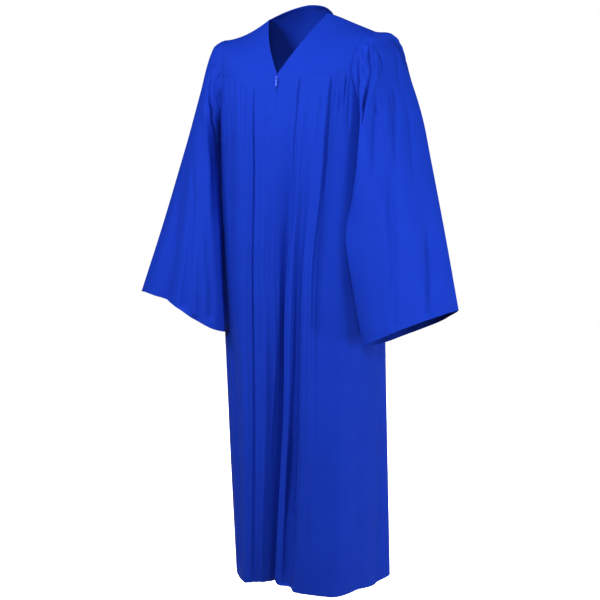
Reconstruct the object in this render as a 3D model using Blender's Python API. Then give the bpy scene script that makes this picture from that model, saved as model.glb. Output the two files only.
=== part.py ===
"""A graduation gown in the hollow form that it has when it is worn.

Metres, +Z up. The wearer looks along -Y and the wearer's left is +X. The origin is the middle of
the shoulder line, between the two neck points, where the gown hangs on the wearer's shoulders.

Every cloth piece is a wall of one thickness: a grid of points on its outer side, a second grid
moved in along the normals, and a rim that joins them. The body panels share one function,
body_point, so that they meet along their seams. A front yoke is a patch between four boundary
curves, the back yoke a run of curves from its top edge to its seam, and a sleeve a skin over a
short table of cross-sections.
"""

import math

import bmesh
import bpy
import numpy as np

MM = 0.001

# Driving sizes
LENGTH = 1.355  # shoulder line to hem
WALL = 1.3 * MM
SEAM_GAP = 0.3 * MM
FRONT_YOKE_DROP = 0.133  # shoulder line to the front yoke seam, where the V neck ends
BACK_YOKE_DROP = 0.120
UNDERARM_DROP = 0.250
ARMHOLE_POWER = 0.7  # less than 1 makes the armholes fall steeply from the yoke seams
NECK_HALF = 0.075  # neck point to the middle
NECK_BACK = 0.060  # back neck behind the shoulder line
NECK_RISE = 0.025  # back neck above the shoulder line
SHOULDER_END = (0.190, 0.0, -0.050)  # outer end of the shoulder seam
SHOULDER_BOW = (0.004, -0.001)  # how far the seam bows above a straight line, left and right
SHOULDER_RISE = (0.003, 0.008)  # at its outer end, on the left and on the right
SHOULDER_SHARE = 0.33  # of the back yoke's top edge, for each shoulder seam
# Which way the back yoke leaves its top edge, by share of that edge from either end
BACK_YOKE_LEAVES = (
    # share, x, y, z
    (0.00, 0.0, 1.00, -0.28),
    (0.14, 0.0, 1.00, -0.10),
    (0.26, 0.0, 1.00, 0.10),
    (0.34, 0.0, 1.00, 0.12),
    (0.41, 0.0, 0.90, -0.35),
    (0.50, 0.0, 0.60, -0.80),
)
BACK_YOKE_ARRIVES = (0.0, 0.16, -0.98)
NECK_BOW = (0.28, 0.38, 0.20)  # how far the V edge bows from straight in x, y and z
RIGHT_DIP = 0.006  # the right shoulder hangs this much lower
SIDE_Y = -0.010  # the side seams hang a little in front of the shoulder line

# Horizontal sections of the body, by drop below the shoulder line. power is 1 for an ellipse and
# less for a squarer section.
BODY_COLUMNS = ("drop", "half_width", "front", "back", "sway", "power")
BODY_SECTIONS = (
    (0.120, 0.188, 0.114, 0.102, 0.000, 0.80),
    (0.180, 0.190, 0.128, 0.112, 0.000, 0.84),
    (0.300, 0.192, 0.142, 0.121, 0.000, 0.90),
    (0.600, 0.196, 0.152, 0.128, -0.006, 0.96),
    (0.950, 0.195, 0.156, 0.131, -0.006, 1.00),
    (1.355, 0.191, 0.156, 0.133, -0.004, 1.00),
)

# Folds run down the body. Each row is one crest, valley or seam: its angle from centre front in
# degrees and how far it stands out in millimetres, at five drops. crisp is 0 for a round line and
# 2 for a pressed one, and cells is how many mesh columns follow before the next row.
LEVELS = (0.133, 0.300, 0.600, 0.950, 1.355)
FRONT_FOLDS = (
    # name, angles at the five levels, offsets at the five levels, crisp, cells
    ("side seam right", (-90, -90, -90, -90, -90), (0, 0, -1, -2, -2), 0, 3),
    ("side right", (-72, -72, -70, -66, -62), (0, 3, 5.5, 9, 14), 0, 3),
    ("corner right", (-56, -57, -57, -53, -50), (0, -2, -2, 2, 18), 0, 7),
    ("valley right", (-42, -43, -46, -45.5, -42.8), (0, -3, -2, 2, 21), 0, 6),
    ("ridge right", (-26, -28, -31, -31, -35.5), (0, 3, 5, 10.5, 23), 0, 4),
    ("pleat C left", (-16, -16.6, -20, -25.2, -33.3), (0, 1, 2, 4.5, 13), 0, 2),
    ("pleat C", (-14, -14.6, -18, -23.8, -32.3), (0, -4, -4, -3, 4.5), 2, 2),
    ("pleat C right", (-12, -12.6, -16, -21.7, -30.9), (0, 1, 1, -2, 1), 0, 3),
    ("ridge centre", (-6, -6, -9, -15.2, -28.5), (0, 2, 1, -8, -10), 0, 3),
    ("centre front", (0, 0.4, -0.2, -11, -26.8), (0, -1, -16, -36, -33.5), 0.7, 3),
    ("valley A", (11, 8, 2.2, -8.4, -26.4), (0, -8, -32, -55, -52), 0.7, 2),
    ("pleat A", (13.5, 12.7, 6.4, -1.3, -18.3), (0, 1.5, -7, -22, -31), 1.5, 3),
    ("ridge A2", (19, 16.5, 10.5, 2.9, -10.7), (0, 0, -6, -17, -20.5), 0, 3),
    ("valley A2", (24, 20.5, 14.5, 7.8, -3.4), (0, -4, -17.5, -33, -26.5), 0, 3),
    ("ridge A3", (30.5, 27.9, 20.3, 15.6, 5), (0, 2.5, -0.5, -6, -5), 0, 2),
    ("ridge B", (34, 31.2, 22.9, 19.6, 13), (0, 4.5, 3, 1.5, -2.5), 0, 2),
    ("pleat B", (36, 33.3, 25.3, 22.8, 21.5), (0, 1, 1.5, 2.5, 0.5), 1, 2),
    ("valley B", (39, 36.6, 32, 28, 27), (0, -7, -7, -1, 4), 0, 7),
    ("corner left", (56, 54, 47, 41, 33.5), (0, 1, 3, 5, 9), 0, 4),
    ("side left", (72, 71, 66, 60, 61), (0, 0, -2, -6, -15), 0, 4),
)
# Flutes of the back, from the left side seam round to the right one: angles and depths in mm
BACK_FLUTES = (
    # crest_yoke, crest_hem, valley_yoke, valley_hem, depth_chest, depth_hem
    (100, 104, 109, 117, 1, 8),
    (118, 129, 127, 139, 4, 11),
    (135, 149, 143, 158, 5, 9),
    (152, 168, 160, 180, 4, 13),
    (170, 190, 178, 200, 5, 10),
    (187, 208, 196, 218, 4, 12),
    (204, 226, 213, 235, 5, 8),
    (222, 243, 233, 252, 4, 11),
    (244, 258, 256, 264, 2, 6),
)
FLUTE_CELLS = 3
LEVEL_SHARE = (0.0, 0.25, 0.55, 0.8, 1.0)  # how much of a flute's growth is reached at each level
BACK_CORNERS = ("valley 1", "valley 7")  # rows where the back yoke seam meets the armholes
SIDE_LEFT_OFFSETS = (0, -1, -3, -6, -17)

# Small gathers under the yoke seams, with angles in degrees
GATHERS = (
    # middle, reach, waves, depth_mm, length
    (-45, 13, 4, 1.6, 0.075),
    (48, 10, 3, 1.6, 0.070),
    (150, 26, 8, 1.8, 0.090),
    (210, 26, 8, 1.8, 0.090),
)

# Where mesh rows lie, as shares of the way from a panel's top edge to the hem
BODY_ROWS = (0, 0.005, 0.012, 0.03, 0.055, 0.085, 0.125, 0.18, 0.25, 0.33, 0.42, 0.52, 0.63, 0.75, 0.88, 1)
YOKE_ROWS = 8

# Sections of each sleeve, from the armhole seam (share 0) to the cuff (share 1), with x counted
# outwards. outer and inner are the two ends of a section; front and back are how far it bulges
# each way; turn rotates that bulge about Z in degrees, pitch slopes it; the pinches sharpen the
# outer and the inner end, where 1 is round.
SLEEVE_COLUMNS = (
    "share", "outer_x", "outer_y", "outer_z", "inner_x", "inner_y", "inner_z",
    "front", "back", "turn", "pitch", "pinch_outer", "pinch_inner",
)
SLEEVE_SECTIONS = {
    "left": (
        (0.05, 0.2200, 0.004, -0.052, 0.203, -0.022, -0.270, 0.080, 0.080, -20, 0.00, 1.1, 1.0),
        (0.10, 0.2345, 0.011, -0.088, 0.197, -0.050, -0.298, 0.080, 0.078, -16, 0.00, 1.3, 1.1),
        (0.20, 0.2620, 0.012, -0.145, 0.184, -0.085, -0.342, 0.069, 0.068, -14, -0.05, 1.5, 1.4),
        (0.34, 0.2960, 0.000, -0.232, 0.166, -0.114, -0.415, 0.056, 0.054, -4, -0.10, 1.6, 1.7),
        (0.50, 0.3260, -0.022, -0.332, 0.154, -0.128, -0.490, 0.048, 0.050, 18, -0.14, 1.6, 2.0),
        (0.74, 0.3660, -0.056, -0.490, 0.174, -0.132, -0.622, 0.052, 0.058, 18, -0.20, 1.6, 1.6),
        (1.00, 0.4090, -0.100, -0.646, 0.195, -0.126, -0.738, 0.056, 0.070, 6, -0.24, 1.6, 1.4),
    ),
    "right": (
        (0.05, 0.2190, 0.002, -0.058, 0.204, -0.016, -0.268, 0.072, 0.080, -20, 0.00, 1.0, 1.0),
        (0.10, 0.2420, 0.009, -0.090, 0.201, -0.036, -0.292, 0.071, 0.078, -15, 0.00, 1.3, 1.1),
        (0.20, 0.2640, 0.012, -0.145, 0.194, -0.060, -0.340, 0.060, 0.070, -5, -0.03, 1.5, 1.2),
        (0.34, 0.2920, 0.000, -0.232, 0.184, -0.093, -0.415, 0.050, 0.056, 6, -0.05, 1.6, 1.4),
        (0.50, 0.3240, -0.022, -0.332, 0.1755, -0.104, -0.500, 0.047, 0.052, 12, -0.06, 1.7, 1.5),
        (0.74, 0.3660, -0.056, -0.490, 0.1715, -0.112, -0.625, 0.046, 0.058, 10, -0.06, 1.7, 1.4),
        (1.00, 0.4090, -0.100, -0.646, 0.168, -0.114, -0.735, 0.044, 0.056, 4, -0.04, 1.8, 1.3),
    ),
}
# How far the cuff edge stands above its plane, by angle round it
CUFF_RISE = {
    # (angle, rise_mm)
    "left": ((0, 0), (60, 0), (100, 0), (150, -1), (200, -4), (260, -5), (310, -8), (360, 0)),
    "right": ((0, 0), (30, 7), (59, 18), (81, 23), (102, 20), (119, 10), (150, 2), (220, 0), (360, 0)),
}
SLEEVE_ROWS = (0, 0.02, 0.045, 0.07, 0.11, 0.17, 0.24, 0.33, 0.43, 0.54, 0.66, 0.78, 0.89, 1)
SLEEVE_CELLS = 48
# Soft folds of a sleeve: angle round it at head and cuff (0 outer, 90 front, 180 inner, 270 back),
# where the fold starts and is full, as shares, its depth (less than 0 for a ridge) and half width
SLEEVE_FOLDS = {
    "left": (
        # head, cuff, starts, full, depth_mm, reach
        (58, 40, 0.35, 0.95, 7, 13),
        (84, 84, 0.05, 0.35, 4, 12),
        (112, 118, 0.30, 0.8, 4, 13),
        (232, 236, 0.25, 0.8, 5, 14),
        (276, 272, 0.10, 0.6, 4, 13),
        (312, 322, 0.25, 0.9, 5, 14),
    ),
    "right": (
        (72, 76, 0.20, 0.95, 13, 14),
        (104, 106, 0.25, 0.95, -9, 14),
        (146, 144, 0.10, 0.60, -7, 18),
        (236, 232, 0.25, 0.8, 5, 14),
        (272, 276, 0.10, 0.6, 4, 13),
        (316, 320, 0.25, 0.9, 5, 14),
    ),
}
HEAD_GATHERS = 15
HEAD_GATHER_MM = 2.4
HEAD_GATHER_LENGTH = 0.10  # share of the sleeve over which the head gathers die away
HEAD_REACH = 120  # degrees each side of the top that are gathered
HEAD_PLAIN = 30  # degrees each side of the top over which the gathers grow

# Zip. Its small parts are laid out from the slider's middle: across, out from the cloth, down.
SLIDER_DROP = 0.1415
SLIDER_SIZE = (8.0 * MM, 6.0 * MM, 10.0 * MM)  # width at the top, width at the bottom, length
SLIDER_BACK = 0.3 * MM  # clear of the cloth
SLIDER_THICK = 1.2 * MM
NECK_PLATE = (1.0 * MM, 5.5 * MM)  # the slider's neck between the two front edges: width, length
ZIP_PARTING = (0, 1.5 * MM, 2.1 * MM, 0)  # how far each front edge stands aside, row by row
CHAIN_WIDTH = 7.0 * MM
CHAIN_THICK = 1.0 * MM
CHAIN_ROWS = 11  # body rows that the chain runs down
CHAIN_BEHIND = 0.5 * MM
TAB_LENGTH = 18.0 * MM
TAB_WIDTH = 5.2 * MM
TAB_THICK = 0.9 * MM
TAB_EYE = (2.8 * MM, 3.6 * MM)  # width and length of the hole that the slider's loop passes
TAB_BAR = 0.8 * MM  # the bar between the hole and the upper end, under the loop
TAB_CLEAR = 0.45 * MM
LOOP_WIDTH = 1.6 * MM
LOOP_THICK = 0.8 * MM
LOOP_REACH = 2.6 * MM  # half its length

ROYAL_BLUE = (0.012, 0.055, 0.70, 1.0)
ZIP_BLUE = (0.010, 0.040, 0.45, 1.0)
ENAMEL_BLUE = (0.030, 0.110, 0.80, 1.0)


# Small mathematics

def smooth_table(knots, values, at):
    """A smooth curve through the values at the knots, read at other places."""
    knots = np.asarray(knots, float)
    values = np.asarray(values, float)
    slopes = knot_slopes(knots, values)
    at = np.clip(np.asarray(at, float), knots[0], knots[-1])
    cell = np.clip(np.searchsorted(knots, at, side="right") - 1, 0, len(knots) - 2)
    span = knots[cell + 1] - knots[cell]
    t = (at - knots[cell]) / span
    if values.ndim > 1:
        t, span = t[:, None], span[:, None]
    return hermite(t, values[cell], values[cell + 1], slopes[cell] * span, slopes[cell + 1] * span)


def knot_slopes(knots, values):
    """Slopes that never make a curve overshoot: the harmonic mean of the steps on both sides."""
    steps = np.diff(values, axis=0) / np.diff(knots).reshape(-1, *[1] * (values.ndim - 1))
    before, after = steps[:-1], steps[1:]
    product = before * after
    total = np.where(product > 0, before + after, 1.0)
    inside = np.where(product > 0, 2 * product / total, 0.0)
    return np.concatenate([steps[:1], inside, steps[-1:]])


def hermite(t, start, end, start_slope, end_slope):
    return (
        start * (2 * t**3 - 3 * t**2 + 1)
        + start_slope * (t**3 - 2 * t**2 + t)
        + end * (3 * t**2 - 2 * t**3)
        + end_slope * (t**3 - t**2)
    )


def ease(t):
    t = np.clip(t, 0, 1)
    return t * t * (3 - 2 * t)


def signed_power(value, power):
    return np.sign(value) * np.abs(value) ** power


def unit(vectors):
    return vectors / np.maximum(np.linalg.norm(vectors, axis=-1, keepdims=True), 1e-12)


# The ring of folds

def ring_rows():
    """All fold rows, from the right side seam round the front and the back to it again."""
    rows = list(FRONT_FOLDS)
    rows.append(("side seam left", (90, 90, 90, 90, 88), SIDE_LEFT_OFFSETS, 0, FLUTE_CELLS))
    share = np.array(LEVEL_SHARE)
    for number, flute in enumerate(BACK_FLUTES):
        crest_yoke, crest_hem, valley_yoke, valley_hem, chest, hem = flute
        depth = chest * np.minimum(share * 4, 1) + (hem - chest) * share**1.3
        crest = crest_yoke + (crest_hem - crest_yoke) * share
        valley = valley_yoke + (valley_hem - valley_yoke) * share
        rows.append((f"crest {number}", crest, depth, 0, FLUTE_CELLS))
        if number < len(BACK_FLUTES) - 1:
            rows.append((f"valley {number}", valley, -depth, 0.6, FLUTE_CELLS))
    rows.append(("side seam end", (270, 270, 270, 270, 270), FRONT_FOLDS[0][2], 0, 0))
    return rows


RING = ring_rows()
RING_NAMES = [row[0] for row in RING]
RING_ANGLES = np.array([row[1] for row in RING], float)
RING_OFFSETS = np.array([row[2] for row in RING], float) * MM
RING_CRISP = np.array([row[3] for row in RING], float)
RING_CELLS = [row[4] for row in RING]


def place(name):
    return RING_NAMES.index(name)


def fold_values(column, drop):
    """The angle and the offset of a ring column, given as row number plus share, at a drop."""
    row = np.clip(np.floor(column + 1e-9).astype(int), 0, len(RING) - 2)
    t = np.clip(column - row, 0, 1)
    before, after = level_value(RING_ANGLES, row, drop), level_value(RING_ANGLES, row + 1, drop)
    angle = before * (1 - t) + after * t
    low, high = level_value(RING_OFFSETS, row, drop), level_value(RING_OFFSETS, row + 1, drop)
    step = high - low
    offset = hermite(t, low, high, RING_CRISP[row] * step, RING_CRISP[row + 1] * step)
    return angle, offset


def level_value(table, row, drop):
    knots = np.array(LEVELS)
    slopes = knot_slopes(knots, table.T).T
    at = np.clip(drop, knots[0], knots[-1])
    cell = np.clip(np.searchsorted(knots, at, side="right") - 1, 0, len(knots) - 2)
    span = knots[cell + 1] - knots[cell]
    t = (at - knots[cell]) / span
    return hermite(
        t, table[row, cell], table[row, cell + 1],
        slopes[row, cell] * span, slopes[row, cell + 1] * span,
    )


def gather_offset(angle, below_seam):
    """Small waves just under the yoke seams."""
    total = np.zeros_like(angle)
    for middle, reach, waves, depth, length in GATHERS:
        across = (angle - middle) / reach
        window = ease(1.25 * (1 - np.abs(across)))
        wave = np.cos(math.pi * waves * across)
        swell = ease(below_seam / 0.012) * np.exp(-((below_seam / length) ** 2))
        total += depth * MM * window * wave * swell
    return total


# The body

def top_drop(column):
    """The drop of the top edge of the body panels: the yoke seams and the lower armholes."""
    side_right, corner_right = 0, place("corner right")
    corner_left, side_left = place("corner left"), place("side seam left")
    back_left, back_right = back_corner_columns()
    end = len(RING) - 1
    knots = (side_right, corner_right, corner_left, side_left, back_left, back_right, end)
    seams = (UNDERARM_DROP, FRONT_YOKE_DROP, FRONT_YOKE_DROP, UNDERARM_DROP,
             BACK_YOKE_DROP, BACK_YOKE_DROP, UNDERARM_DROP)
    cell = np.clip(np.searchsorted(knots, column, side="right") - 1, 0, len(knots) - 2)
    start, stop = np.array(knots)[cell], np.array(knots)[cell + 1]
    low, high = np.array(seams)[cell], np.array(seams)[cell + 1]
    t = (column - start) / (stop - start)
    falling = np.sin(t * math.pi / 2) ** ARMHOLE_POWER
    rising = 1 - np.sin((1 - t) * math.pi / 2) ** ARMHOLE_POWER
    return low + (high - low) * np.where(high >= low, falling, rising)


def back_corner_columns():
    return tuple(place(name) for name in BACK_CORNERS)


def body_point(column, drop):
    """A point on the outer side of the body, with its folds."""
    angle, offset = fold_values(column, drop)
    offset = offset + gather_offset(angle, drop - top_drop(column))
    turn = np.radians(angle)
    half_width, front, back, sway, power = (
        smooth_table([row[0] for row in BODY_SECTIONS], [row[i] for row in BODY_SECTIONS], drop)
        for i in range(1, len(BODY_COLUMNS))
    )
    depth = np.where(np.cos(turn) >= 0, front + SIDE_Y, back - SIDE_Y)
    across = signed_power(np.sin(turn), power)
    ahead = signed_power(np.cos(turn), power)
    outward = unit(np.stack([np.sin(turn) / half_width, -np.cos(turn) / depth], axis=-1))
    x = sway + half_width * across + offset * outward[..., 0]
    y = SIDE_Y - depth * ahead + offset * outward[..., 1]
    return np.stack([x, y, -drop], axis=-1)


def panel_columns(start, stop):
    """Mesh columns from one place on the ring to another, on every fold row between them."""
    columns = [float(start)]
    for row in range(start, stop):
        cells = RING_CELLS[row]
        columns += [row + k / cells for k in range(1, cells + 1)]
    return np.array(columns)


def body_grid(columns):
    """Rows from the top edge to the hem for a run of ring columns."""
    columns = inset_ends(columns, body_row_length(columns))
    top = top_drop(columns) + SEAM_GAP / 2
    share = np.array(BODY_ROWS)[:, None]
    drop = top + (LENGTH - top) * share
    return body_point(np.broadcast_to(columns, drop.shape), drop)


def body_row_length(columns):
    points = body_point(columns, np.full_like(columns, 0.5))
    return np.linalg.norm(np.diff(points, axis=0), axis=1)


def inset_ends(columns, steps):
    """The same columns with the first and last moved in by half a seam gap."""
    columns = columns.copy()
    columns[0] += (columns[1] - columns[0]) * SEAM_GAP / 2 / steps[0]
    columns[-1] -= (columns[-1] - columns[-2]) * SEAM_GAP / 2 / steps[-1]
    return columns


# The yokes

def patch(top, bottom, left, right):
    """A grid between four boundary curves that share their corners. Rows go from top to bottom."""
    rows, columns = len(left), len(top)
    t = np.linspace(0, 1, rows)[:, None, None]
    s = chord_shares(bottom)[None, :, None]
    ruled = (1 - t) * top[None] + t * bottom[None]
    sides = (1 - s) * left[:, None] + s * right[:, None]
    corners = (1 - t) * ((1 - s) * top[0] + s * top[-1]) + t * ((1 - s) * bottom[0] + s * bottom[-1])
    return ruled + sides - corners


def chord_shares(points):
    steps = np.linalg.norm(np.diff(points, axis=0), axis=1)
    return np.concatenate([[0], np.cumsum(steps)]) / steps.sum()


def shoulder_line(share, side):
    """The shoulder seam: share 0 is the neck point and 1 its outer end."""
    x = NECK_HALF + (SHOULDER_END[0] - NECK_HALF) * share
    y = SHOULDER_END[1] * share
    rise = SHOULDER_RISE[0 if side > 0 else 1] * share**3
    bow = SHOULDER_BOW[0 if side > 0 else 1]
    z = SHOULDER_END[2] * share + 4 * bow * share * (1 - share) + rise
    dip = RIGHT_DIP if side < 0 else 0
    return np.stack([side * x, y, z - dip], axis=-1)


def neck_edge(start, end, share):
    """The V neck from the neck point to the yoke seam, bowed a little outwards and forwards."""
    slow = 1 - np.cos(share * math.pi / 2)
    quick = np.sin(share * math.pi / 2)
    along = np.stack([
        share + NECK_BOW[0] * (slow - share),
        share + NECK_BOW[1] * (quick - share),
        share + NECK_BOW[2] * (slow - share),
    ], axis=-1)
    return start + (end - start) * along


def bowed(start, end, share, bow):
    """From start to end, leaving level and arriving steep: bow 0 is straight, 1 a quarter circle."""
    start, end = np.asarray(start, float), np.asarray(end, float)
    along = (1 - bow) * share + bow * np.sin(share * math.pi / 2)
    fall = (1 - bow) * share + bow * (1 - np.cos(share * math.pi / 2))
    point = start + (end - start) * along[:, None]
    point[:, 2] = start[2] + (end[2] - start[2]) * fall
    return point


def front_yoke_grid(side):
    """Rows from the shoulder seam to the yoke seam, columns from the V edge to the armhole."""
    start, stop = place("centre front"), place("corner left" if side > 0 else "corner right")
    columns = panel_columns(min(start, stop), max(start, stop))
    if side < 0:
        columns = columns[::-1]
    seam = body_point(columns, np.full(columns.shape, FRONT_YOKE_DROP))
    share = np.linspace(0, 1, YOKE_ROWS + 1)
    neck_point = shoulder_line(np.array([0.0]), side)[0]
    shoulder = shoulder_line(chord_shares(seam), side)
    neckline = neck_edge(neck_point, seam[0], share)
    armhole = bowed(shoulder[-1], seam[-1], share, 0.85)
    return patch(shoulder, seam, neckline, armhole)


def back_yoke_grid():
    """Rows from the shoulder seams and the back neck to the back yoke seam, left to right."""
    left, right = back_corner_columns()
    columns = panel_columns(left, right)
    seam = body_point(columns, np.full(columns.shape, BACK_YOKE_DROP))
    along = chord_shares(seam)
    top = np.array([back_top_edge(share) for share in along])
    shares, *slopes = zip(*BACK_YOKE_LEAVES)
    leave = unit(smooth_table(shares, np.transpose(slopes), 0.5 - np.abs(along - 0.5)))
    arrive = np.array(BACK_YOKE_ARRIVES)
    length = np.linalg.norm(seam - top, axis=1)[:, None] * 1.1
    share = np.linspace(0, 1, YOKE_ROWS + 1)
    return np.array([hermite(t, top, seam, leave * length, arrive * length) for t in share])


def back_top_edge(share):
    """Left shoulder seam, back neck and right shoulder seam as one curve."""
    side = 1 if share < 0.5 else -1
    from_end = min(share, 1 - share) / SHOULDER_SHARE
    if from_end <= 1:
        return shoulder_line(np.array([1 - from_end]), side)[0]
    turn = math.pi / 2 * (from_end - 1) / (0.5 / SHOULDER_SHARE - 1)
    dip = RIGHT_DIP * math.cos(turn) if side < 0 else 0
    return np.array([
        side * NECK_HALF * math.cos(turn),
        NECK_BACK * math.sin(turn),
        NECK_RISE * math.sin(turn) ** 1.3 - dip,
    ])


# The sleeves

def armhole_ring(side, shares):
    """The armhole seam: share 0 is the shoulder end, then front, underarm and back."""
    front = front_yoke_grid(side)[:, -1]
    back_grid = back_yoke_grid()
    back = back_grid[:, 0] if side > 0 else back_grid[:, -1]
    low_front = lower_armhole(place("corner left" if side > 0 else "corner right"),
                              place("side seam left") if side > 0 else 0)
    low_back = lower_armhole(back_corner_columns()[0 if side > 0 else 1],
                             place("side seam left") if side > 0 else len(RING) - 1)
    ring = np.concatenate([front, low_front[1:], low_back[-2::-1], back[-2::-1]])
    measure = chord_shares(ring)
    return np.stack([np.interp(shares, measure, ring[:, i]) for i in range(3)], axis=-1)


def lower_armhole(corner, underarm):
    columns = panel_columns(min(corner, underarm), max(corner, underarm))
    if underarm < corner:
        columns = columns[::-1]
    return body_point(columns, top_drop(columns))


def sleeve_section(row, angle, side):
    """One cross-section of a sleeve as a closed curve."""
    values = dict(zip(SLEEVE_COLUMNS, row))
    outer = np.array([values["outer_x"], values["outer_y"], values["outer_z"]])
    inner = np.array([values["inner_x"], values["inner_y"], values["inner_z"]])
    turn = math.radians(values["turn"])
    ahead = np.array([math.sin(turn), -math.cos(turn), -values["pitch"]])
    depth = np.where(np.sin(angle) >= 0, values["front"], values["back"])
    outerness = (1 + np.cos(angle)) / 2
    pinch = values["pinch_outer"] * outerness + values["pinch_inner"] * (1 - outerness)
    swing = signed_power(np.sin(angle), pinch) * depth
    points = (outer + inner) / 2 + np.cos(angle)[:, None] * (outer - inner) / 2 + swing[:, None] * ahead
    points[:, 0] *= side
    return points


def side_name(side):
    return "left" if side > 0 else "right"


def sleeve_fold_offset(angle, share, side):
    degrees = np.degrees(angle)
    total = np.zeros(np.broadcast(angle, share).shape)
    for head, cuff, starts, full, depth, reach in SLEEVE_FOLDS[side_name(side)]:
        centre = head + (cuff - head) * share
        away = (degrees - centre + 180) % 360 - 180
        total -= depth * MM * ease((share - starts) / (full - starts)) * np.exp(-((away / reach) ** 2))
    from_top = np.abs((degrees + 180) % 360 - 180)
    window = ease(1.3 * (1 - from_top / HEAD_REACH)) * ease(from_top / HEAD_PLAIN)
    wave = np.cos(np.radians(from_top) * HEAD_GATHERS * 180 / HEAD_REACH)
    swell = ease(share / 0.02) * np.exp(-((share / HEAD_GATHER_LENGTH) ** 2))
    return total + HEAD_GATHER_MM * MM * window * wave * swell


def sleeve_grid(side):
    """Rows from the armhole to the cuff; columns go round from the outer line to the front."""
    shares = np.arange(SLEEVE_CELLS) / SLEEVE_CELLS
    angle = 2 * math.pi * shares
    rings = [armhole_ring(side, shares)]
    sections = SLEEVE_SECTIONS[side_name(side)]
    rings += [sleeve_section(row, angle, side) for row in sections]
    knots = [0.0] + [row[0] for row in sections]
    rows = np.array(SLEEVE_ROWS)
    grid = smooth_table(knots, np.array(rings).reshape(len(rings), -1), rows)
    grid = grid.reshape(len(rows), SLEEVE_CELLS, 3)
    grid[0] += SEAM_GAP * unit(grid[1] - grid[0])
    degrees, rise = zip(*CUFF_RISE[side_name(side)])
    lift = smooth_table(degrees, rise, np.degrees(angle)) * MM
    grid[..., 2] += lift * ease((rows[:, None] - 0.4) / 0.6) ** 2
    folds = sleeve_fold_offset(angle[None, :], rows[:, None], side)[..., None]
    return grid + tube_normals(grid) * folds


# Cloth walls

def tube_normals(grid):
    """Normals of a closed grid, pointing out of the tube."""
    across = np.roll(grid, -1, axis=1) - np.roll(grid, 1, axis=1)
    normals = unit(np.cross(across, np.gradient(grid, axis=0)))
    cuff = grid[-1] - grid[-1].mean(axis=0)
    return normals if np.sum(normals[-1] * cuff) > 0 else -normals


def panel_normals(grid):
    """Normals of an open grid, pointing away from the gown's inside."""
    normals = unit(np.cross(np.gradient(grid, axis=1), np.gradient(grid, axis=0)))
    middle = grid.reshape(-1, 3).mean(axis=0)
    hollow = np.array([0.0, 0.0, middle[2] - 0.05])
    centre = tuple(n // 2 for n in grid.shape[:2])
    return normals if np.dot(normals[centre], grid[centre] - hollow) > 0 else -normals


def cloth(name, outer, normals, material, closed=False, thickness=WALL):
    """A closed wall between the outer grid and the same grid moved in along its normals."""
    inner = outer - thickness * normals
    rows, columns = outer.shape[:2]
    count = rows * columns
    points = np.concatenate([outer.reshape(-1, 3), inner.reshape(-1, 3)])

    def number(r, c, side):
        return side * count + r * columns + c % columns

    faces = []
    for r in range(rows - 1):
        for c in range(columns if closed else columns - 1):
            quad = ((r, c), (r, c + 1), (r + 1, c + 1), (r + 1, c))
            faces.append([number(i, j, 0) for i, j in quad])
            faces.append([number(i, j, 1) for i, j in reversed(quad)])
    rim = [((0, c + 1), (0, c)) for c in range(columns if closed else columns - 1)]
    rim += [((rows - 1, c), (rows - 1, c + 1)) for c in range(columns if closed else columns - 1)]
    if not closed:
        rim += [((r, 0), (r + 1, 0)) for r in range(rows - 1)]
        rim += [((r + 1, columns - 1), (r, columns - 1)) for r in range(rows - 1)]
    for a, b in rim:
        faces.append([number(*a, 0), number(*b, 0), number(*b, 1), number(*a, 1)])
    return add_mesh(name, points, faces, material)


def add_mesh(name, points, faces, material):
    mesh = bpy.data.meshes.new(name)
    mesh.from_pydata([tuple(p) for p in points], [], faces)
    shaped = bmesh.new()
    shaped.from_mesh(mesh)
    bmesh.ops.recalc_face_normals(shaped, faces=shaped.faces)
    bmesh.ops.triangulate(shaped, faces=shaped.faces)
    shaped.to_mesh(mesh)
    shaped.free()
    mesh.materials.append(material)
    mesh.shade_smooth()
    mesh.set_sharp_from_angle(angle=math.radians(60))
    thing = bpy.data.objects.new(name, mesh)
    bpy.context.scene.collection.objects.link(thing)
    return thing


def make_material(name, colour, roughness):
    material = bpy.data.materials.new(name)
    material.use_nodes = True
    shader = material.node_tree.nodes["Principled BSDF"]
    shader.inputs["Base Color"].default_value = colour
    shader.inputs["Roughness"].default_value = roughness
    return material


# Making the gown

def clear_scene():
    for thing in list(bpy.data.objects):
        bpy.data.objects.remove(thing)


def make_cloth_pieces(fabric):
    right, middle, left = 0, place("centre front"), place("side seam left")
    back_left, back_right = back_corner_columns()
    columns = {
        "front_right": panel_columns(right, middle),
        "front_left": panel_columns(middle, left),
        "back": panel_columns(left, len(RING) - 1),
    }
    grids = {name: body_grid(run) for name, run in columns.items()}
    normals = {name: panel_normals(grid) for name, grid in grids.items()}
    yokes = {
        "yoke_front_right": front_yoke_grid(-1),
        "yoke_front_left": front_yoke_grid(1),
        "yoke_back": back_yoke_grid(),
    }
    for name, grid in yokes.items():
        grid = pulled_in(grid)
        yokes[name] = grid
        normals[name] = panel_normals(grid)
        flatten_shoulder_normals(grid, normals[name])
    share_seam_normals(normals, columns, back_left, back_right)
    part_front_edges(grids)
    for name, grid in {**grids, **yokes}.items():
        cloth(name, grid, normals[name], fabric)
    for name, side in (("sleeve_right", -1), ("sleeve_left", 1)):
        grid = sleeve_grid(side)
        cloth(name, grid, tube_normals(grid), fabric, closed=True)
    return grids, normals


def pulled_in(grid):
    """A yoke grid with its edges moved in by half a seam gap."""
    grid = grid.copy()
    half = SEAM_GAP / 2
    for edge, beside in ((0, 1), (-1, -2)):
        grid[edge] += half * unit(grid[beside] - grid[edge])
        grid[:, edge] += half * unit(grid[:, beside] - grid[:, edge])
    return grid


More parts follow.
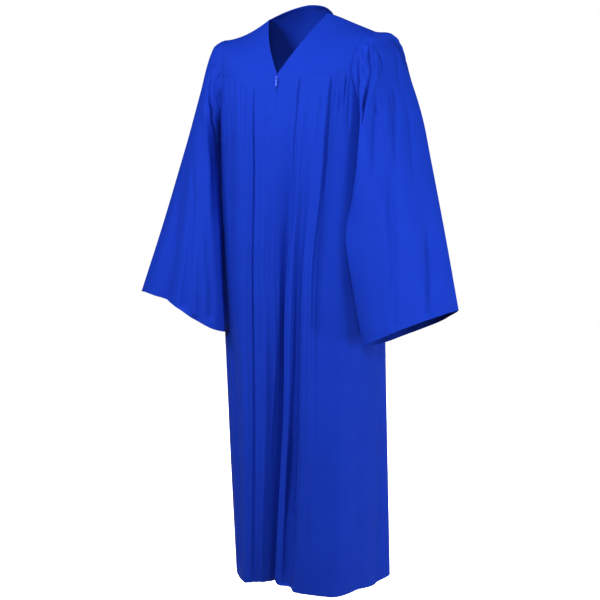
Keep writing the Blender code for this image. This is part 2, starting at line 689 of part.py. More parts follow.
def flatten_shoulder_normals(grid, normals):
    """Along the shoulder seams the wall stands square to the seam, so that both sides meet."""
    on_shoulder = np.abs(grid[0, :, 0]) > NECK_HALF - MM
    normals[0, on_shoulder, 1] = 0
    normals[0] = unit(normals[0])


def share_seam_normals(normals, columns, back_left, back_right):
    """Yoke and panel take one normal where they meet, so that their inner sides stay apart."""
    runs = (
        ("yoke_front_right", "front_right", place("corner right"), place("centre front")),
        ("yoke_front_left", "front_left", place("centre front"), place("corner left")),
        ("yoke_back", "back", back_left, back_right),
    )
    for yoke, panel, start, stop in runs:
        run = columns[panel]
        chosen = np.where((run >= start - 1e-6) & (run <= stop + 1e-6))[0]
        above = normals[yoke][-1]
        if yoke == "yoke_front_right":
            above = above[::-1]
        normals[panel][0, chosen] = above
    for before, after in (("front_right", "front_left"), ("front_left", "back"), ("back", "front_right")):
        shared = unit(normals[before][:, -1] + normals[after][:, 0])
        normals[before][:, -1] = shared
        normals[after][:, 0] = shared


def part_front_edges(grids):
    """The front edges stand aside for the slider's neck."""
    for name, edge, beside in (("front_right", -1, -2), ("front_left", 0, 1)):
        grid = grids[name]
        for row, aside in enumerate(ZIP_PARTING):
            grid[row, edge] += aside * unit(grid[row, beside] - grid[row, edge])


# The zip

def slider_frame():
    """Where the slider's middle meets the cloth, and the directions across, out and down."""
    seam = float(place("centre front"))
    drops = SLIDER_DROP + np.array([-1, 0, 1]) * SLIDER_SIZE[2] / 2
    above, middle, below = body_point(np.full(3, seam), drops)
    down = unit(below - above)
    across = np.array([1.0, 0.0, 0.0])
    across = unit(across - down * np.dot(across, down))
    return middle, across, np.cross(down, across), down


def prism(outline, first, second, along, start, stop, base):
    """A polygon drawn in two directions and swept along the third, as points and faces."""
    count = len(outline)
    points = [base + first * a + second * b + along * c for c in (start, stop) for a, b in outline]
    faces = [list(range(count)), list(range(count, 2 * count))]
    faces += [[i, (i + 1) % count, (i + 1) % count + count, i + count] for i in range(count)]
    return points, faces


def tapered_outline(top, bottom, start, stop, corner):
    """A strip from start to stop, one width at its top and another at its bottom, corners cut."""
    right = [
        (top / 2 - corner, start),
        (top / 2, start + corner),
        (bottom / 2, stop - corner),
        (bottom / 2 - corner, stop),
    ]
    return right + [(-a, b) for a, b in reversed(right)]


def joined(name, parts, material):
    """One closed solid from prisms that pass clearly into each other."""
    things = [add_mesh(f"{name}_{i}", *part, material) for i, part in enumerate(parts)]
    whole = things[0]
    whole.name = name
    for other in things[1:]:
        union = whole.modifiers.new("union", "BOOLEAN")
        union.operation = "UNION"
        union.solver = "EXACT"
        union.object = other
    graph = bpy.context.evaluated_depsgraph_get()
    mesh = bpy.data.meshes.new_from_object(whole.evaluated_get(graph))
    whole.modifiers.clear()
    whole.data = mesh
    for other in things[1:]:
        bpy.data.objects.remove(other)
    mesh.shade_flat()
    return whole


def make_slider(enamel):
    base, across, out, down = slider_frame()
    top, bottom, length = SLIDER_SIZE
    front = SLIDER_BACK + SLIDER_THICK
    plate = tapered_outline(top, bottom, -length / 2, length / 2, 1.2 * MM)
    under = front + 2 * TAB_CLEAR + TAB_THICK
    over = under + LOOP_THICK
    reach, root, cut = LOOP_REACH, front - 0.4 * MM, 0.6 * MM
    inner = reach - LOOP_THICK
    loop = [(-reach, root), (-reach, over - cut), (-reach + cut, over), (reach - cut, over),
            (reach, over - cut), (reach, root), (inner, root), (inner, under - cut / 2),
            (inner - cut / 2, under), (cut / 2 - inner, under), (-inner, under - cut / 2), (-inner, root)]
    width, tall = NECK_PLATE
    neck = [(-width / 2, -tall / 2), (width / 2, -tall / 2), (width / 2, tall / 2), (-width / 2, tall / 2)]
    behind = -(WALL + CHAIN_BEHIND - SLIDER_BACK)
    joined("zip_slider", (
        prism(plate, across, down, out, SLIDER_BACK, front, base),
        prism(loop, down, out, across, -LOOP_WIDTH / 2, LOOP_WIDTH / 2, base),
        prism(neck, across, down, out, behind, SLIDER_BACK + SLIDER_THICK / 2, base),
    ), enamel)


def make_pull(enamel):
    """The tab as a ring round its eye: a strip of cells between the outer and the inner outline."""
    base, across, out, down = slider_frame()
    middle = SLIDER_BACK + SLIDER_THICK + TAB_CLEAR + TAB_THICK / 2
    half, start = TAB_WIDTH / 2, -TAB_BAR / 2
    stop = start + TAB_LENGTH
    eye_half, eye_top = TAB_EYE[0] / 2, TAB_BAR / 2
    eye_stop = eye_top + TAB_EYE[1]
    cut = 1.0 * MM
    outer = [(-half * 0.75, start), (half * 0.75, start), (half, start + cut), (half, stop - 2 * cut),
             (half * 0.6, stop), (-half * 0.6, stop), (-half, stop - 2 * cut), (-half, start + cut)]
    eye = [(-eye_half, eye_top), (eye_half, eye_top), (eye_half, eye_top + cut),
           (eye_half, eye_stop - cut / 2), (eye_half - cut / 2, eye_stop), (cut / 2 - eye_half, eye_stop),
           (-eye_half, eye_stop - cut / 2), (-eye_half, eye_top + cut)]
    count = len(outer)
    points = [
        base + across * a + down * b + out * (middle + lift)
        for lift in (-TAB_THICK / 2, TAB_THICK / 2) for a, b in outer + eye
    ]
    faces = []
    for i in range(count):
        j = (i + 1) % count
        faces.append([i, j, j + count, i + count])
        faces.append([i + 2 * count, j + 2 * count, j + 3 * count, i + 3 * count])
        faces.append([i, j, j + 2 * count, i + 2 * count])
        faces.append([i + count, j + count, j + 3 * count, i + 3 * count])
    add_mesh("zip_pull", points, faces, enamel)


def make_chain(grids, normals, coil):
    """A strip behind the seam, laid out from the points of both front edges."""
    right, left = grids["front_right"][:CHAIN_ROWS], grids["front_left"][:CHAIN_ROWS]
    seam = (right[:, -1] + left[:, 0]) / 2
    half = CHAIN_WIDTH / 2
    outer = np.stack([
        seam + half * unit(right[:, -2] - seam),
        seam,
        seam + half * unit(left[:, 1] - seam),
    ], axis=1)
    inward = np.repeat(normals["front_left"][:CHAIN_ROWS, :1], 3, axis=1)
    outer = outer - (WALL + CHAIN_BEHIND) * inward
    cloth("zip_chain", outer, inward, coil, thickness=CHAIN_THICK)


def main():
    clear_scene()
    fabric = make_material("fabric", ROYAL_BLUE, 0.62)
    enamel = make_material("enamel", ENAMEL_BLUE, 0.3)
    coil = make_material("zip_coil", ZIP_BLUE, 0.5)
    grids, normals = make_cloth_pieces(fabric)
    make_chain(grids, normals, coil)
    make_slider(enamel)
    make_pull(enamel)


main()
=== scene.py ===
"""The finished look of a graduation gown: its cloth, gathers, seams, hems, stitches and zip."""

import math

import bpy
import numpy as np
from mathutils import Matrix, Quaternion, Vector


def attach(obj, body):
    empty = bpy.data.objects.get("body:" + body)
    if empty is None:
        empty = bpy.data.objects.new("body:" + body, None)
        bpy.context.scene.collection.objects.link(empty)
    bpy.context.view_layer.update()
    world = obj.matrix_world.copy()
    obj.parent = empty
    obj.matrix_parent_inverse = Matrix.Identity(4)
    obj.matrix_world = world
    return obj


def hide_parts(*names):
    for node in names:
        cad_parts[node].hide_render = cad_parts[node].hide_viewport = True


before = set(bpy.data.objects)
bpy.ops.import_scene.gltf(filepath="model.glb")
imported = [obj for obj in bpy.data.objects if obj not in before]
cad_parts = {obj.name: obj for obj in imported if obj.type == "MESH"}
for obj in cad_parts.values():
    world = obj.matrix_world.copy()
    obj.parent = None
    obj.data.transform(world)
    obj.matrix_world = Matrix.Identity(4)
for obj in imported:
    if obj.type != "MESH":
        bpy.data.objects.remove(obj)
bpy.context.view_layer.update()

MM = 0.001
TINY = 1e-9
SIDES = {"right": -1, "left": 1}

# Driving sizes, those of the part's source but for the seams
LENGTH = 1.355
SEAM_GAP = 0.06 * MM
SEAM_LAP = 0.25 * MM  # the body pieces' top edges, up behind the yokes
FRONT_YOKE_DROP = 0.133
BACK_YOKE_DROP = 0.120
UNDERARM_DROP = 0.250
ARMHOLE_POWER = 0.7
NECK_HALF = 0.075
NECK_BACK = 0.060
NECK_RISE = 0.025
NECK_POWER = 1.3
SHOULDER_END = (0.190, 0.0, -0.050)
SHOULDER_BOW = {"left": 0.002, "right": -0.0045}
SHOULDER_RISE = {"left": 0.0035, "right": 0.0098}
SHOULDER_DIP = {"left": 0.0, "right": 0.006}
SHOULDER_SHARE = 0.33  # each shoulder, of the back yoke's top edge
BACK_YOKE_LEAVES = (
    # share, x, y, z
    (0.00, 0.0, 1.00, -0.28),
    (0.14, 0.0, 1.00, -0.10),
    (0.26, 0.0, 1.00, 0.10),
    (0.34, 0.0, 1.00, 0.12),
    (0.41, 0.0, 0.90, -0.35),
    (0.50, 0.0, 0.60, -0.80),
)
BACK_YOKE_ARRIVES = (0.0, 0.16, -0.98)
BACK_YOKE_SWELL = 1.1
YOKE_LENGTH = 0.150
NECK_BOW = (-0.28, 0.38, -0.20)  # each axis, under 0 where it leaves slowly
ARMHOLE_BOW = (0.85, 0.85, -0.85)
SIDE_Y = -0.010
BODY_SECTIONS = (
    # drop, half_width, front, back, sway, power
    (0.120, 0.188, 0.114, 0.102, 0.000, 0.80),
    (0.180, 0.190, 0.128, 0.112, 0.000, 0.84),
    (0.300, 0.192, 0.142, 0.121, 0.000, 0.90),
    (0.600, 0.196, 0.152, 0.128, -0.006, 0.96),
    (0.950, 0.195, 0.156, 0.131, -0.006, 1.00),
    (1.355, 0.191, 0.156, 0.133, -0.004, 1.00),
)
LEVELS = (0.133, 0.300, 0.600, 0.950, 1.355)
FRONT_FOLDS = (
    # name, angles at the five levels, offsets in mm at the five levels, crisp
    ("side seam right", (-90, -90, -90, -90, -90), (0, 0, -1, -2, -2), 0),
    ("side right", (-72, -72, -70, -66, -62), (0, 3, 5.5, 9, 14), 0),
    ("corner right", (-56, -57, -57, -53, -50), (0, -2, -2, 2, 18), 0),
    ("valley right", (-42, -43, -46, -45.5, -42.8), (0, -3, -2, 2, 21), 0),
    ("ridge right", (-26, -28, -31, -31, -35.5), (0, 3, 5, 10.5, 23), 0),
    ("pleat C left", (-16, -16.6, -20, -25.2, -33.3), (0, 1, 2, 4.5, 13), 0),
    ("pleat C", (-14, -14.6, -18, -23.8, -32.3), (0, -4, -4, -3, 4.5), 2),
    ("pleat C right", (-12, -12.6, -16, -21.7, -30.9), (0, 1, 1, -2, 1), 0),
    ("ridge centre", (-6, -6, -9, -15.2, -28.5), (0, 2, 1, -8, -10), 0),
    ("centre front", (0, 0.4, -0.2, -11, -26.8), (0, -1, -16, -36, -33.5), 0.7),
    ("valley A", (11, 8, 2.2, -8.4, -26.4), (0, -8, -32, -55, -52), 0.7),
    ("pleat A", (13.5, 12.7, 6.4, -1.3, -18.3), (0, 1.5, -7, -22, -31), 1.5),
    ("ridge A2", (19, 16.5, 10.5, 2.9, -10.7), (0, 0, -6, -17, -20.5), 0),
    ("valley A2", (24, 20.5, 14.5, 7.8, -3.4), (0, -4, -17.5, -33, -26.5), 0),
    ("ridge A3", (30.5, 27.9, 20.3, 15.6, 5), (0, 2.5, -0.5, -6, -5), 0),
    ("ridge B", (34, 31.2, 22.9, 19.6, 13), (0, 4.5, 3, 1.5, -2.5), 0),
    ("pleat B", (36, 33.3, 25.3, 22.8, 21.5), (0, 1, 1.5, 2.5, 0.5), 1),
    ("valley B", (39, 36.6, 32, 28, 27), (0, -7, -7, -1, 4), 0),
    ("corner left", (56, 54, 47, 41, 33.5), (0, 1, 3, 5, 9), 0),
    ("side left", (72, 71, 66, 60, 61), (0, 0, -2, -6, -15), 0),
)
BACK_FLUTES = (
    # crest_yoke, crest_hem, valley_yoke, valley_hem, depth_chest, depth_hem
    (100, 104, 109, 117, 1, 8),
    (118, 129, 127, 139, 4, 11),
    (135, 149, 143, 158, 5, 9),
    (152, 168, 160, 180, 4, 13),
    (170, 190, 178, 200, 5, 10),
    (187, 208, 196, 218, 4, 12),
    (204, 226, 213, 235, 5, 8),
    (222, 243, 233, 252, 4, 11),
    (244, 258, 256, 264, 2, 6),
)
LEVEL_SHARE = (0.0, 0.25, 0.55, 0.8, 1.0)
SIDE_LEFT_OFFSETS = (0, -1, -3, -6, -17)
GATHERS = (
    # middle, reach, waves, depth_mm, length
    (-45, 13, 4, 1.6, 0.075),
    (48, 10, 3, 1.6, 0.070),
    (150, 26, 8, 1.8, 0.090),
    (210, 26, 8, 1.8, 0.090),
)
GATHERS_FULL = 0.012
GATHERS_EDGE = 1.25
GATHERS_WANDER = ((0.035, 0.9, 1), (0.02, 2.3, 0))  # aside, waves, share of the middle as start
CREASES = (
    # fold columns at the start and the end, drops: starts, full, fading, ends, depth_mm, widths_mm
    (6.0, 6.0, 0.14, 0.20, 1.34, 1.36, -1.4, 1.2, 1.2),
    (5.2, 5.3, 0.15, 0.30, 1.30, 1.36, 1.2, 4.0, 4.0),
    (6.9, 7.1, 0.15, 0.30, 1.30, 1.36, 1.0, 4.0, 4.0),
    (11.15, 11.1, 0.14, 0.40, 1.34, 1.36, 2.6, 2.2, 1.7),
    (10.72, 10.65, 0.20, 0.40, 1.34, 1.36, -3.4, 3.6, 2.6),
    (10.9, 10.7, 0.135, 0.16, 0.30, 0.50, -3.4, 3.4, 1.8),
    (16.6, 16.7, 0.135, 0.16, 0.32, 0.42, -3.0, 3.0, 2.2),
    (15.4, 15.3, 0.14, 0.25, 0.60, 0.90, 1.5, 6.0, 6.0),
    (17.2, 17.0, 0.135, 0.15, 0.19, 0.26, -2.2, 3.0, 3.0),
    (17.45, 17.4, 0.135, 0.15, 0.20, 0.24, -2.4, 3.0, 3.0),
    (17.75, 17.7, 0.135, 0.15, 0.17, 0.23, -2.0, 2.6, 2.6),
    (18.0, 17.9, 0.14, 0.16, 0.20, 0.28, -2.4, 3.2, 3.2),
    (14.2, 13.6, 0.14, 0.22, 0.30, 0.42, -1.6, 5.0, 5.0),
    (12.5, 12.5, 0.16, 0.24, 0.50, 0.62, -1.2, 5.0, 5.0),
    (3.4, 3.5, 0.14, 0.16, 0.22, 0.30, -1.8, 3.6, 3.6),
    (2.9, 3.0, 0.14, 0.17, 0.26, 0.34, -2.0, 4.0, 4.0),
    (3.9, 4.1, 0.14, 0.16, 0.20, 0.31, -1.6, 3.4, 3.4),
    (4.4, 4.4, 0.14, 0.18, 0.24, 0.40, -1.4, 4.4, 4.4),
    (2.4, 2.3, 0.16, 0.19, 0.24, 0.32, -1.8, 3.4, 3.4),
    (8.6, 8.4, 0.20, 0.32, 0.75, 0.95, -1.8, 8.0, 7.0),
    (7.8, 7.9, 0.25, 0.40, 0.85, 1.05, 1.4, 8.0, 7.0),
    (3.2, 3.3, 1.02, 1.10, 1.14, 1.20, -3.0, 9.0, 7.0),
    (3.3, 3.4, 1.16, 1.21, 1.27, 1.33, -3.0, 8.0, 7.0),
    (13.2, 12.7, 0.90, 1.05, 1.10, 1.24, -5.0, 8.0, 7.0),
    (12.9, 12.6, 0.45, 0.65, 1.30, 1.355, -2.6, 7.0, 5.0),
    (12.7, 12.3, 0.85, 1.14, 1.35, 1.36, -7.0, 15.0, 17.0),
    (13.9, 13.6, 0.95, 1.05, 1.12, 1.20, -2.2, 5.0, 4.5),
    (8.2, 8.1, 0.16, 0.22, 0.60, 0.80, -1.1, 2.6, 2.6),
    (8.8, 8.7, 0.30, 0.40, 0.90, 1.15, 0.9, 3.0, 3.0),
    (7.5, 7.6, 0.55, 0.70, 1.10, 1.30, -1.0, 3.0, 3.0),
    (12.2, 12.3, 0.20, 0.30, 0.70, 0.95, -1.2, 2.8, 2.8),
    (13.6, 13.5, 0.40, 0.55, 0.95, 1.15, 1.1, 3.0, 3.0),
    (14.7, 14.6, 0.25, 0.35, 0.80, 1.05, -1.1, 2.6, 2.6),
    (15.6, 15.5, 0.30, 0.50, 1.15, 1.30, 1.2, 3.0, 2.4),
    (4.6, 4.5, 0.40, 0.60, 1.10, 1.30, -1.2, 3.4, 3.4),
    (16.3, 16.4, 0.45, 0.60, 0.95, 1.20, 0.9, 3.0, 3.0),
    (2.9, 2.8, 0.70, 0.85, 1.30, 1.36, -5.5, 6.0, 5.0),
    (2.3, 2.2, 0.60, 0.80, 1.30, 1.36, -3.0, 7.0, 6.0),
    (3.5, 3.5, 0.75, 0.95, 1.30, 1.36, 1.6, 5.0, 5.0),
    (13.6, 13.3, 1.12, 1.20, 1.26, 1.345, -3.0, 9.0, 8.0),
    (14.6, 14.3, 1.06, 1.16, 1.22, 1.32, 2.2, 9.0, 8.0),
    (17.5, 17.6, 0.95, 1.15, 1.30, 1.36, -1.5, 18.0, 18.0),
    (18.6, 18.5, 0.90, 1.10, 1.30, 1.36, 1.6, 14.0, 14.0),
    (23.2, 23.6, 0.125, 0.15, 0.24, 0.42, -2.2, 3.4, 3.4),
    (24.6, 24.9, 0.125, 0.15, 0.19, 0.28, -1.8, 3.0, 3.0),
    (26.3, 26.1, 0.125, 0.16, 0.32, 0.60, -2.0, 4.0, 5.0),
    (27.8, 28.2, 0.125, 0.15, 0.22, 0.34, -2.4, 3.4, 3.0),
    (29.4, 29.3, 0.125, 0.16, 0.26, 0.46, -1.8, 3.6, 3.6),
    (30.7, 30.4, 0.125, 0.15, 0.20, 0.31, -2.2, 3.0, 3.4),
    (32.5, 32.8, 0.125, 0.16, 0.30, 0.52, -2.0, 4.0, 4.0),
    (34.2, 34.1, 0.125, 0.15, 0.21, 0.36, -2.2, 3.2, 3.2),
    (25.4, 25.8, 0.55, 0.80, 1.10, 1.30, 2.0, 10.0, 8.0),
    (31.5, 31.1, 0.70, 0.95, 1.20, 1.355, -2.4, 9.0, 11.0),
    (28.6, 28.4, 0.85, 1.05, 1.25, 1.355, 2.2, 10.0, 10.0),
    (22.4, 22.2, 0.40, 0.60, 0.80, 1.05, -2.0, 9.0, 9.0),
)
CREASE_DEPTH = 1.5
CREASE_WANDER = (0.05, 17, 5)  # aside, waves down the cloth, start for each fold
STRAIGHT_DEPTH = -2.9  # deeper troughs don't wander
SLEEVE_SECTIONS = {
    # share, outer xyz, inner xyz, front, back, turn, pitch, pinch_outer, pinch_inner
    "left": (
        (0.05, 0.2172, 0.004, -0.0505, 0.203, -0.022, -0.270, 0.080, 0.080, -20, 0.00, 1.1, 1.0),
        (0.06, 0.2184, 0.006, -0.0595, 0.2018, -0.0276, -0.2756, 0.080, 0.0796, -19, 0, 1.1, 1),
        (0.10, 0.2362, 0.011, -0.088, 0.197, -0.050, -0.298, 0.080, 0.078, -16, 0.00, 1.3, 1.1),
        (0.20, 0.2620, 0.012, -0.145, 0.184, -0.085, -0.342, 0.069, 0.068, -14, -0.05, 1.5, 1.4),
        (0.34, 0.2960, 0.000, -0.232, 0.170, -0.114, -0.415, 0.056, 0.054, -4, -0.10, 1.6, 1.7),
        (0.50, 0.3240, -0.022, -0.332, 0.160, -0.128, -0.490, 0.048, 0.050, 18, -0.14, 1.6, 2.0),
        (0.74, 0.3660, -0.056, -0.490, 0.178, -0.132, -0.622, 0.052, 0.058, 18, -0.20, 1.6, 1.6),
        (1.00, 0.4090, -0.100, -0.646, 0.195, -0.126, -0.738, 0.056, 0.070, 6, -0.24, 1.6, 1.4),
    ),
    "right": (
        (0.05, 0.2200, 0.002, -0.057, 0.204, -0.016, -0.268, 0.072, 0.080, -20, 0.00, 1.0, 1.0),
        (0.10, 0.2440, 0.009, -0.090, 0.201, -0.036, -0.292, 0.071, 0.078, -15, 0.00, 1.3, 1.1),
        (0.20, 0.2640, 0.012, -0.145, 0.194, -0.060, -0.340, 0.060, 0.070, -5, -0.03, 1.5, 1.2),
        (0.34, 0.2905, 0.000, -0.232, 0.184, -0.093, -0.415, 0.050, 0.056, 6, -0.05, 1.6, 1.4),
        (0.50, 0.3200, -0.022, -0.332, 0.1755, -0.104, -0.500, 0.047, 0.052, 12, -0.06, 1.7, 1.5),
        (0.74, 0.3660, -0.056, -0.490, 0.1715, -0.112, -0.625, 0.046, 0.058, 10, -0.06, 1.7, 1.4),
        (1.00, 0.4090, -0.100, -0.646, 0.168, -0.114, -0.735, 0.044, 0.056, 4, -0.04, 1.8, 1.3),
    ),
}
CUFF_RISE = {
    # (angle, rise_mm)
    "left": ((0, 0), (60, 0), (100, 0), (150, -1), (200, -2), (260, -1), (310, -3), (360, 0)),
    "right": (
        (0, 0), (30, 9), (59, 21), (81, 28), (102, 26), (119, 16), (150, 7), (220, 4), (360, 0),
    ),
}
RISE_STARTS = 0.4
SLEEVE_LENGTH = 0.62
SLEEVE_HEAD = 95  # mm with close rows
FLUSH_REACH = (105, 45)  # degrees from the top, in front and behind
FLUSH_FADE = 50
SLEEVE_FOLDS = {
    # head, cuff, starts, full, depth_mm, reach
    "left": (
        (58, 40, 0.35, 0.95, 7, 13),
        (84, 84, 0.05, 0.35, 4, 12),
        (112, 118, 0.30, 0.8, 4, 13),
        (232, 236, 0.25, 0.8, 5, 14),
        (276, 272, 0.10, 0.6, 4, 13),
        (312, 322, 0.25, 0.9, 5, 14),
    ),
    "right": (
        (72, 76, 0.20, 0.95, 13, 14),
        (104, 106, 0.25, 0.95, -9, 14),
        (146, 144, 0.10, 0.60, -7, 18),
        (236, 232, 0.25, 0.8, 5, 14),
        (272, 276, 0.10, 0.6, 4, 13),
        (316, 320, 0.25, 0.9, 5, 14),
    ),
}
HEAD_REACH = 120
HEAD_PLAIN = (30, 60)  # degrees from the top without gathers, in front and behind
HEAD_WAVES = 26
HEAD_WANDER = ((3.5, 3.7, 40), (2, 9.1, 0))  # degrees aside, waves, start
HEAD_STRENGTH = (0.6, 0.4, 5.3, 100)  # mean, how much it varies, waves, start
HEAD_DEPTH = 2.0 * MM
HEAD_EDGE = 1.3
HEAD_FULL = 0.02
HEAD_FADES = (0.07, 0.05)  # share of the sleeve for the weakest, and more with strength
LINE_DEPTH = 1.9
LINE_WIDTH = 0.85
LINE_STEPS = 8  # from one point of a line to the next
SLEEVE_LINES = {
    # points of each fold line: degrees, share, depth_mm, width_mm
    "left": (
        ((50, 0.010, 0, 2.6), (64, 0.021, -2.6, 2.6), (78, 0.030, -4.0, 2.8), (89, 0.037, -5.5, 3),
         (104, 0.030, -5.5, 3.4), (119, 0.010, 0, 3.4)),
        ((26, 0.011, 0, 2.4), (42, 0.041, -1.8, 2.4), (50, 0.065, -2.6, 2.6),
         (56, 0.081, -2.6, 2.8), (63, 0.098, -2.6, 3), (71, 0.106, -4, 3.4), (79, 0.114, -7, 4),
         (89, 0.122, -8, 4.5), (100, 0.138, -6, 4.5), (108, 0.162, 0, 4.5)),
        ((37, 0.057, 0, 3), (41, 0.081, 1.2, 3.4), (49, 0.098, 1.4, 3.8), (57, 0.122, 1.4, 4),
         (68, 0.138, 1.2, 4), (79, 0.162, 0, 4.5)),
        ((34, 0.073, 0, 2.6), (37, 0.089, -1.6, 2.8), (42, 0.114, -1.8, 3), (52, 0.138, 0, 3.4)),
        ((68, 0.202, 0, 2.6), (71, 0.218, -2.4, 2.8), (72, 0.234, 0, 2.6)),
        ((53, 0.186, 0, 6), (56, 0.218, 1.8, 7), (63, 0.267, 2, 8), (72, 0.323, 0, 9)),
        ((64, 0.154, 0, 5), (70, 0.202, -1.8, 6), (79, 0.251, -2.6, 7), (89, 0.315, -2.2, 8),
         (102, 0.412, 0, 9)),
        ((40, 0.194, 0, 5), (45, 0.243, -2.2, 7), (56, 0.307, -2.6, 8), (65, 0.38, -2, 9),
         (76, 0.484, 0, 10)),
        ((75, 0.412, 0, 9), (86, 0.517, -3, 11), (94, 0.678, -4, 12), (101, 0.863, -3.4, 13),
         (104, 0.952, -2.4, 13)),
        ((46, 0.645, 0, 10), (49, 0.758, -3.4, 12), (53, 0.879, -4.2, 13), (56, 0.974, -4.2, 13)),
        ((30, 0.847, 0, 10), (33, 0.927, 2.6, 11), (35, 0.99, 3, 11)),
        ((5, 0.089, 0, 4), (12, 0.122, -1.4, 4.4), (25, 0.17, -1.6, 5), (34, 0.234, 0, 6)),
        ((35, 0.005, 0, 2.2), (49, 0.025, -1.4, 2.4), (60, 0.041, -1.6, 2.6), (71, 0.049, 0, 3)),
        ((29, 0.243, 0, 6), (37, 0.331, -1.6, 8), (49, 0.452, -1.6, 9), (57, 0.573, 0, 10)),
    ),
    "right": (
        ((26, 0.017, 0, 2.2), (33, 0.033, -2, 2.4), (41, 0.041, -3, 2.6), (45, 0.057, -2.4, 2.6),
         (56, 0.057, 0, 2.6)),
        ((55, 0.025, 0, 2.2), (59, 0.041, -2.4, 2.4), (63, 0.057, -3, 2.6), (70, 0.065, -3, 2.8),
         (76, 0.081, -3.2, 3), (90, 0.081, -4, 3.2), (108, 0.073, -5.5, 3.6), (123, 0.081, -7, 4.2),
         (143, 0.081, -7, 4.6), (166, 0.106, 0, 5)),
        ((72, 0.011, 0, 2), (78, 0.025, -2.4, 2.2), (83, 0.041, -2.6, 2.4), (94, 0.041, -1.6, 2.6),
         (106, 0.033, -2.6, 2.8), (125, 0.017, 0, 3)),
        ((90, 0.007, 0, 1.8), (97, 0.017, -1.8, 2), (106, 0.017, -3, 2.2), (120, 0.005, 0, 2.4)),
        ((45, 0.011, 0, 2.2), (50, 0.025, 1.2, 2.6), (61, 0.049, 1.6, 3), (75, 0.057, 1.6, 3.2),
         (90, 0.057, 1.4, 3.2), (106, 0.057, 0, 3.4)),
        ((74, 0.13, 0, 5), (101, 0.138, 2, 7), (134, 0.226, 2.6, 8), (146, 0.371, 2.6, 9),
         (142, 0.573, 0, 10)),
        ((86, 0.315, 0, 8), (104, 0.468, -3, 10), (108, 0.67, -3.4, 11), (106, 0.879, -4.6, 11),
         (106, 0.974, -4.8, 11)),
        ((119, 0.597, 0, 8), (120, 0.726, 2.4, 9), (121, 0.879, 3.2, 10), (121, 0.966, 3.2, 10)),
        ((138, 0.428, 0, 7), (139, 0.597, -2.8, 8), (145, 0.774, -3.6, 9), (143, 0.936, -3.6, 9)),
        ((52, 0.476, 0, 8), (68, 0.637, -1.6, 9), (78, 0.847, -2.2, 10), (78, 0.99, -2.2, 10)),
    ),
}
ZIP_PARTING = ((0.1331, 0.0), (0.1393, 1.5 * MM), (0.1478, 2.1 * MM), (0.1697, 0.0))
PARTED_COLUMNS = 8
PARTED_REACH = 9 * MM

# The cloth
CLOTH = 0.55 * MM
COLUMN = 2.8 * MM
FINE_SHARE = 0.6  # columns beside a crisp fold
CRISP = 0.7
MEASURED_DROP = 0.7  # where the ring is measured for its columns
ROW = 8 * MM
YOKE_ROW = 3.5 * MM
SLEEVE_ROW = 6.5 * MM
HEAD_ROW = 2.5  # mm
SLEEVE_CELLS = 276
FRONT_CROWDING = 1.1  # how much closer the columns stand in front than behind
CROWDING_STEPS = 360
CROWDING_EDGE = 0.4
HEM_FALL = 8 * MM
SIDE_FALL = 7 * MM
FALL_STARTS = 1.0
FALLING_FOLD = (("ridge centre", -0.6), ("valley A", -0.1), ("pleat A", 0.1))
SIDE_FALL_COLUMN = 19.9
SIDE_FALL_REACH = 1.1
ROLL = 0.8 * MM  # radius of a turned edge
ROLL_TURNS = (30, 60, 90, 120, 150)
SEAM_DIP = 0.7 * MM
SIDE_SEAM_DIP = 0.8 * MM
SLEEVE_DIP = 0.4 * MM
SEAM_REACH = 1.3 * MM
SEAM_ROWS = (0, 0.5, 1.1, 1.9, 3.0, 4.6, 7.0, 10.5)  # mm from a seam
HEM_ROWS = (0, 1.2, 3.0, 6.0, 10.5, 16.0, 21.0, 23.0, 24.0, 25.0)  # mm from a turned edge
EDGE_ROWS = (0, 0.8, 2.0, 4.0, 6.0, 8.0)
NECK_ROWS = 7
NECK_FADE = 3 * MM  # from the neck point to the full dip of a shoulder seam

# Stitches
STITCH = (2.4 * MM, 3.4 * MM, 0.32 * MM)  # length, pitch, thickness
HEM_STITCH = 22 * MM
CUFF_STITCH = 20 * MM
NECK_STITCH = 6.5 * MM
NECK_STITCH_END = 4 * MM  # from the neck point
HEM_STITCH_ROW, NECK_STITCH_ROW = -8, 5  # the rows whose normals the stitches take
STITCHED_ROWS = slice(3, -3)  # of a front yoke's neck edge
BAR_SIDES = 6
BAR_RINGS = ((-0.5, 0.45), (-0.36, 1.0), (0.36, 1.0), (0.5, 0.45))  # place along, size

# The zip behind the centre-front seam
CHAIN_END = 0.648
TAPE = (0.5 * MM, 3.4 * MM, 0.35 * MM)  # inner edge, outer edge, thickness
TAPE_COLUMNS = 4
TAPE_BEHIND = 2.4 * MM
TOOTH = (2.6 * MM, 0.64 * MM, 0.9 * MM)  # across, down the chain, through it
TOOTH_PITCH = 1.35 * MM
TOOTH_ASIDE = 0.55 * MM
TOOTH_BEHIND = 2.3 * MM

# Light and dark blues of the woven pieces
CLOTH_BLUES = (0.0093, 0.0444, 0.392), (0.0081, 0.0380, 0.353)
TAPE_BLUES = (0.0032, 0.027, 0.34), (0.0028, 0.024, 0.30)

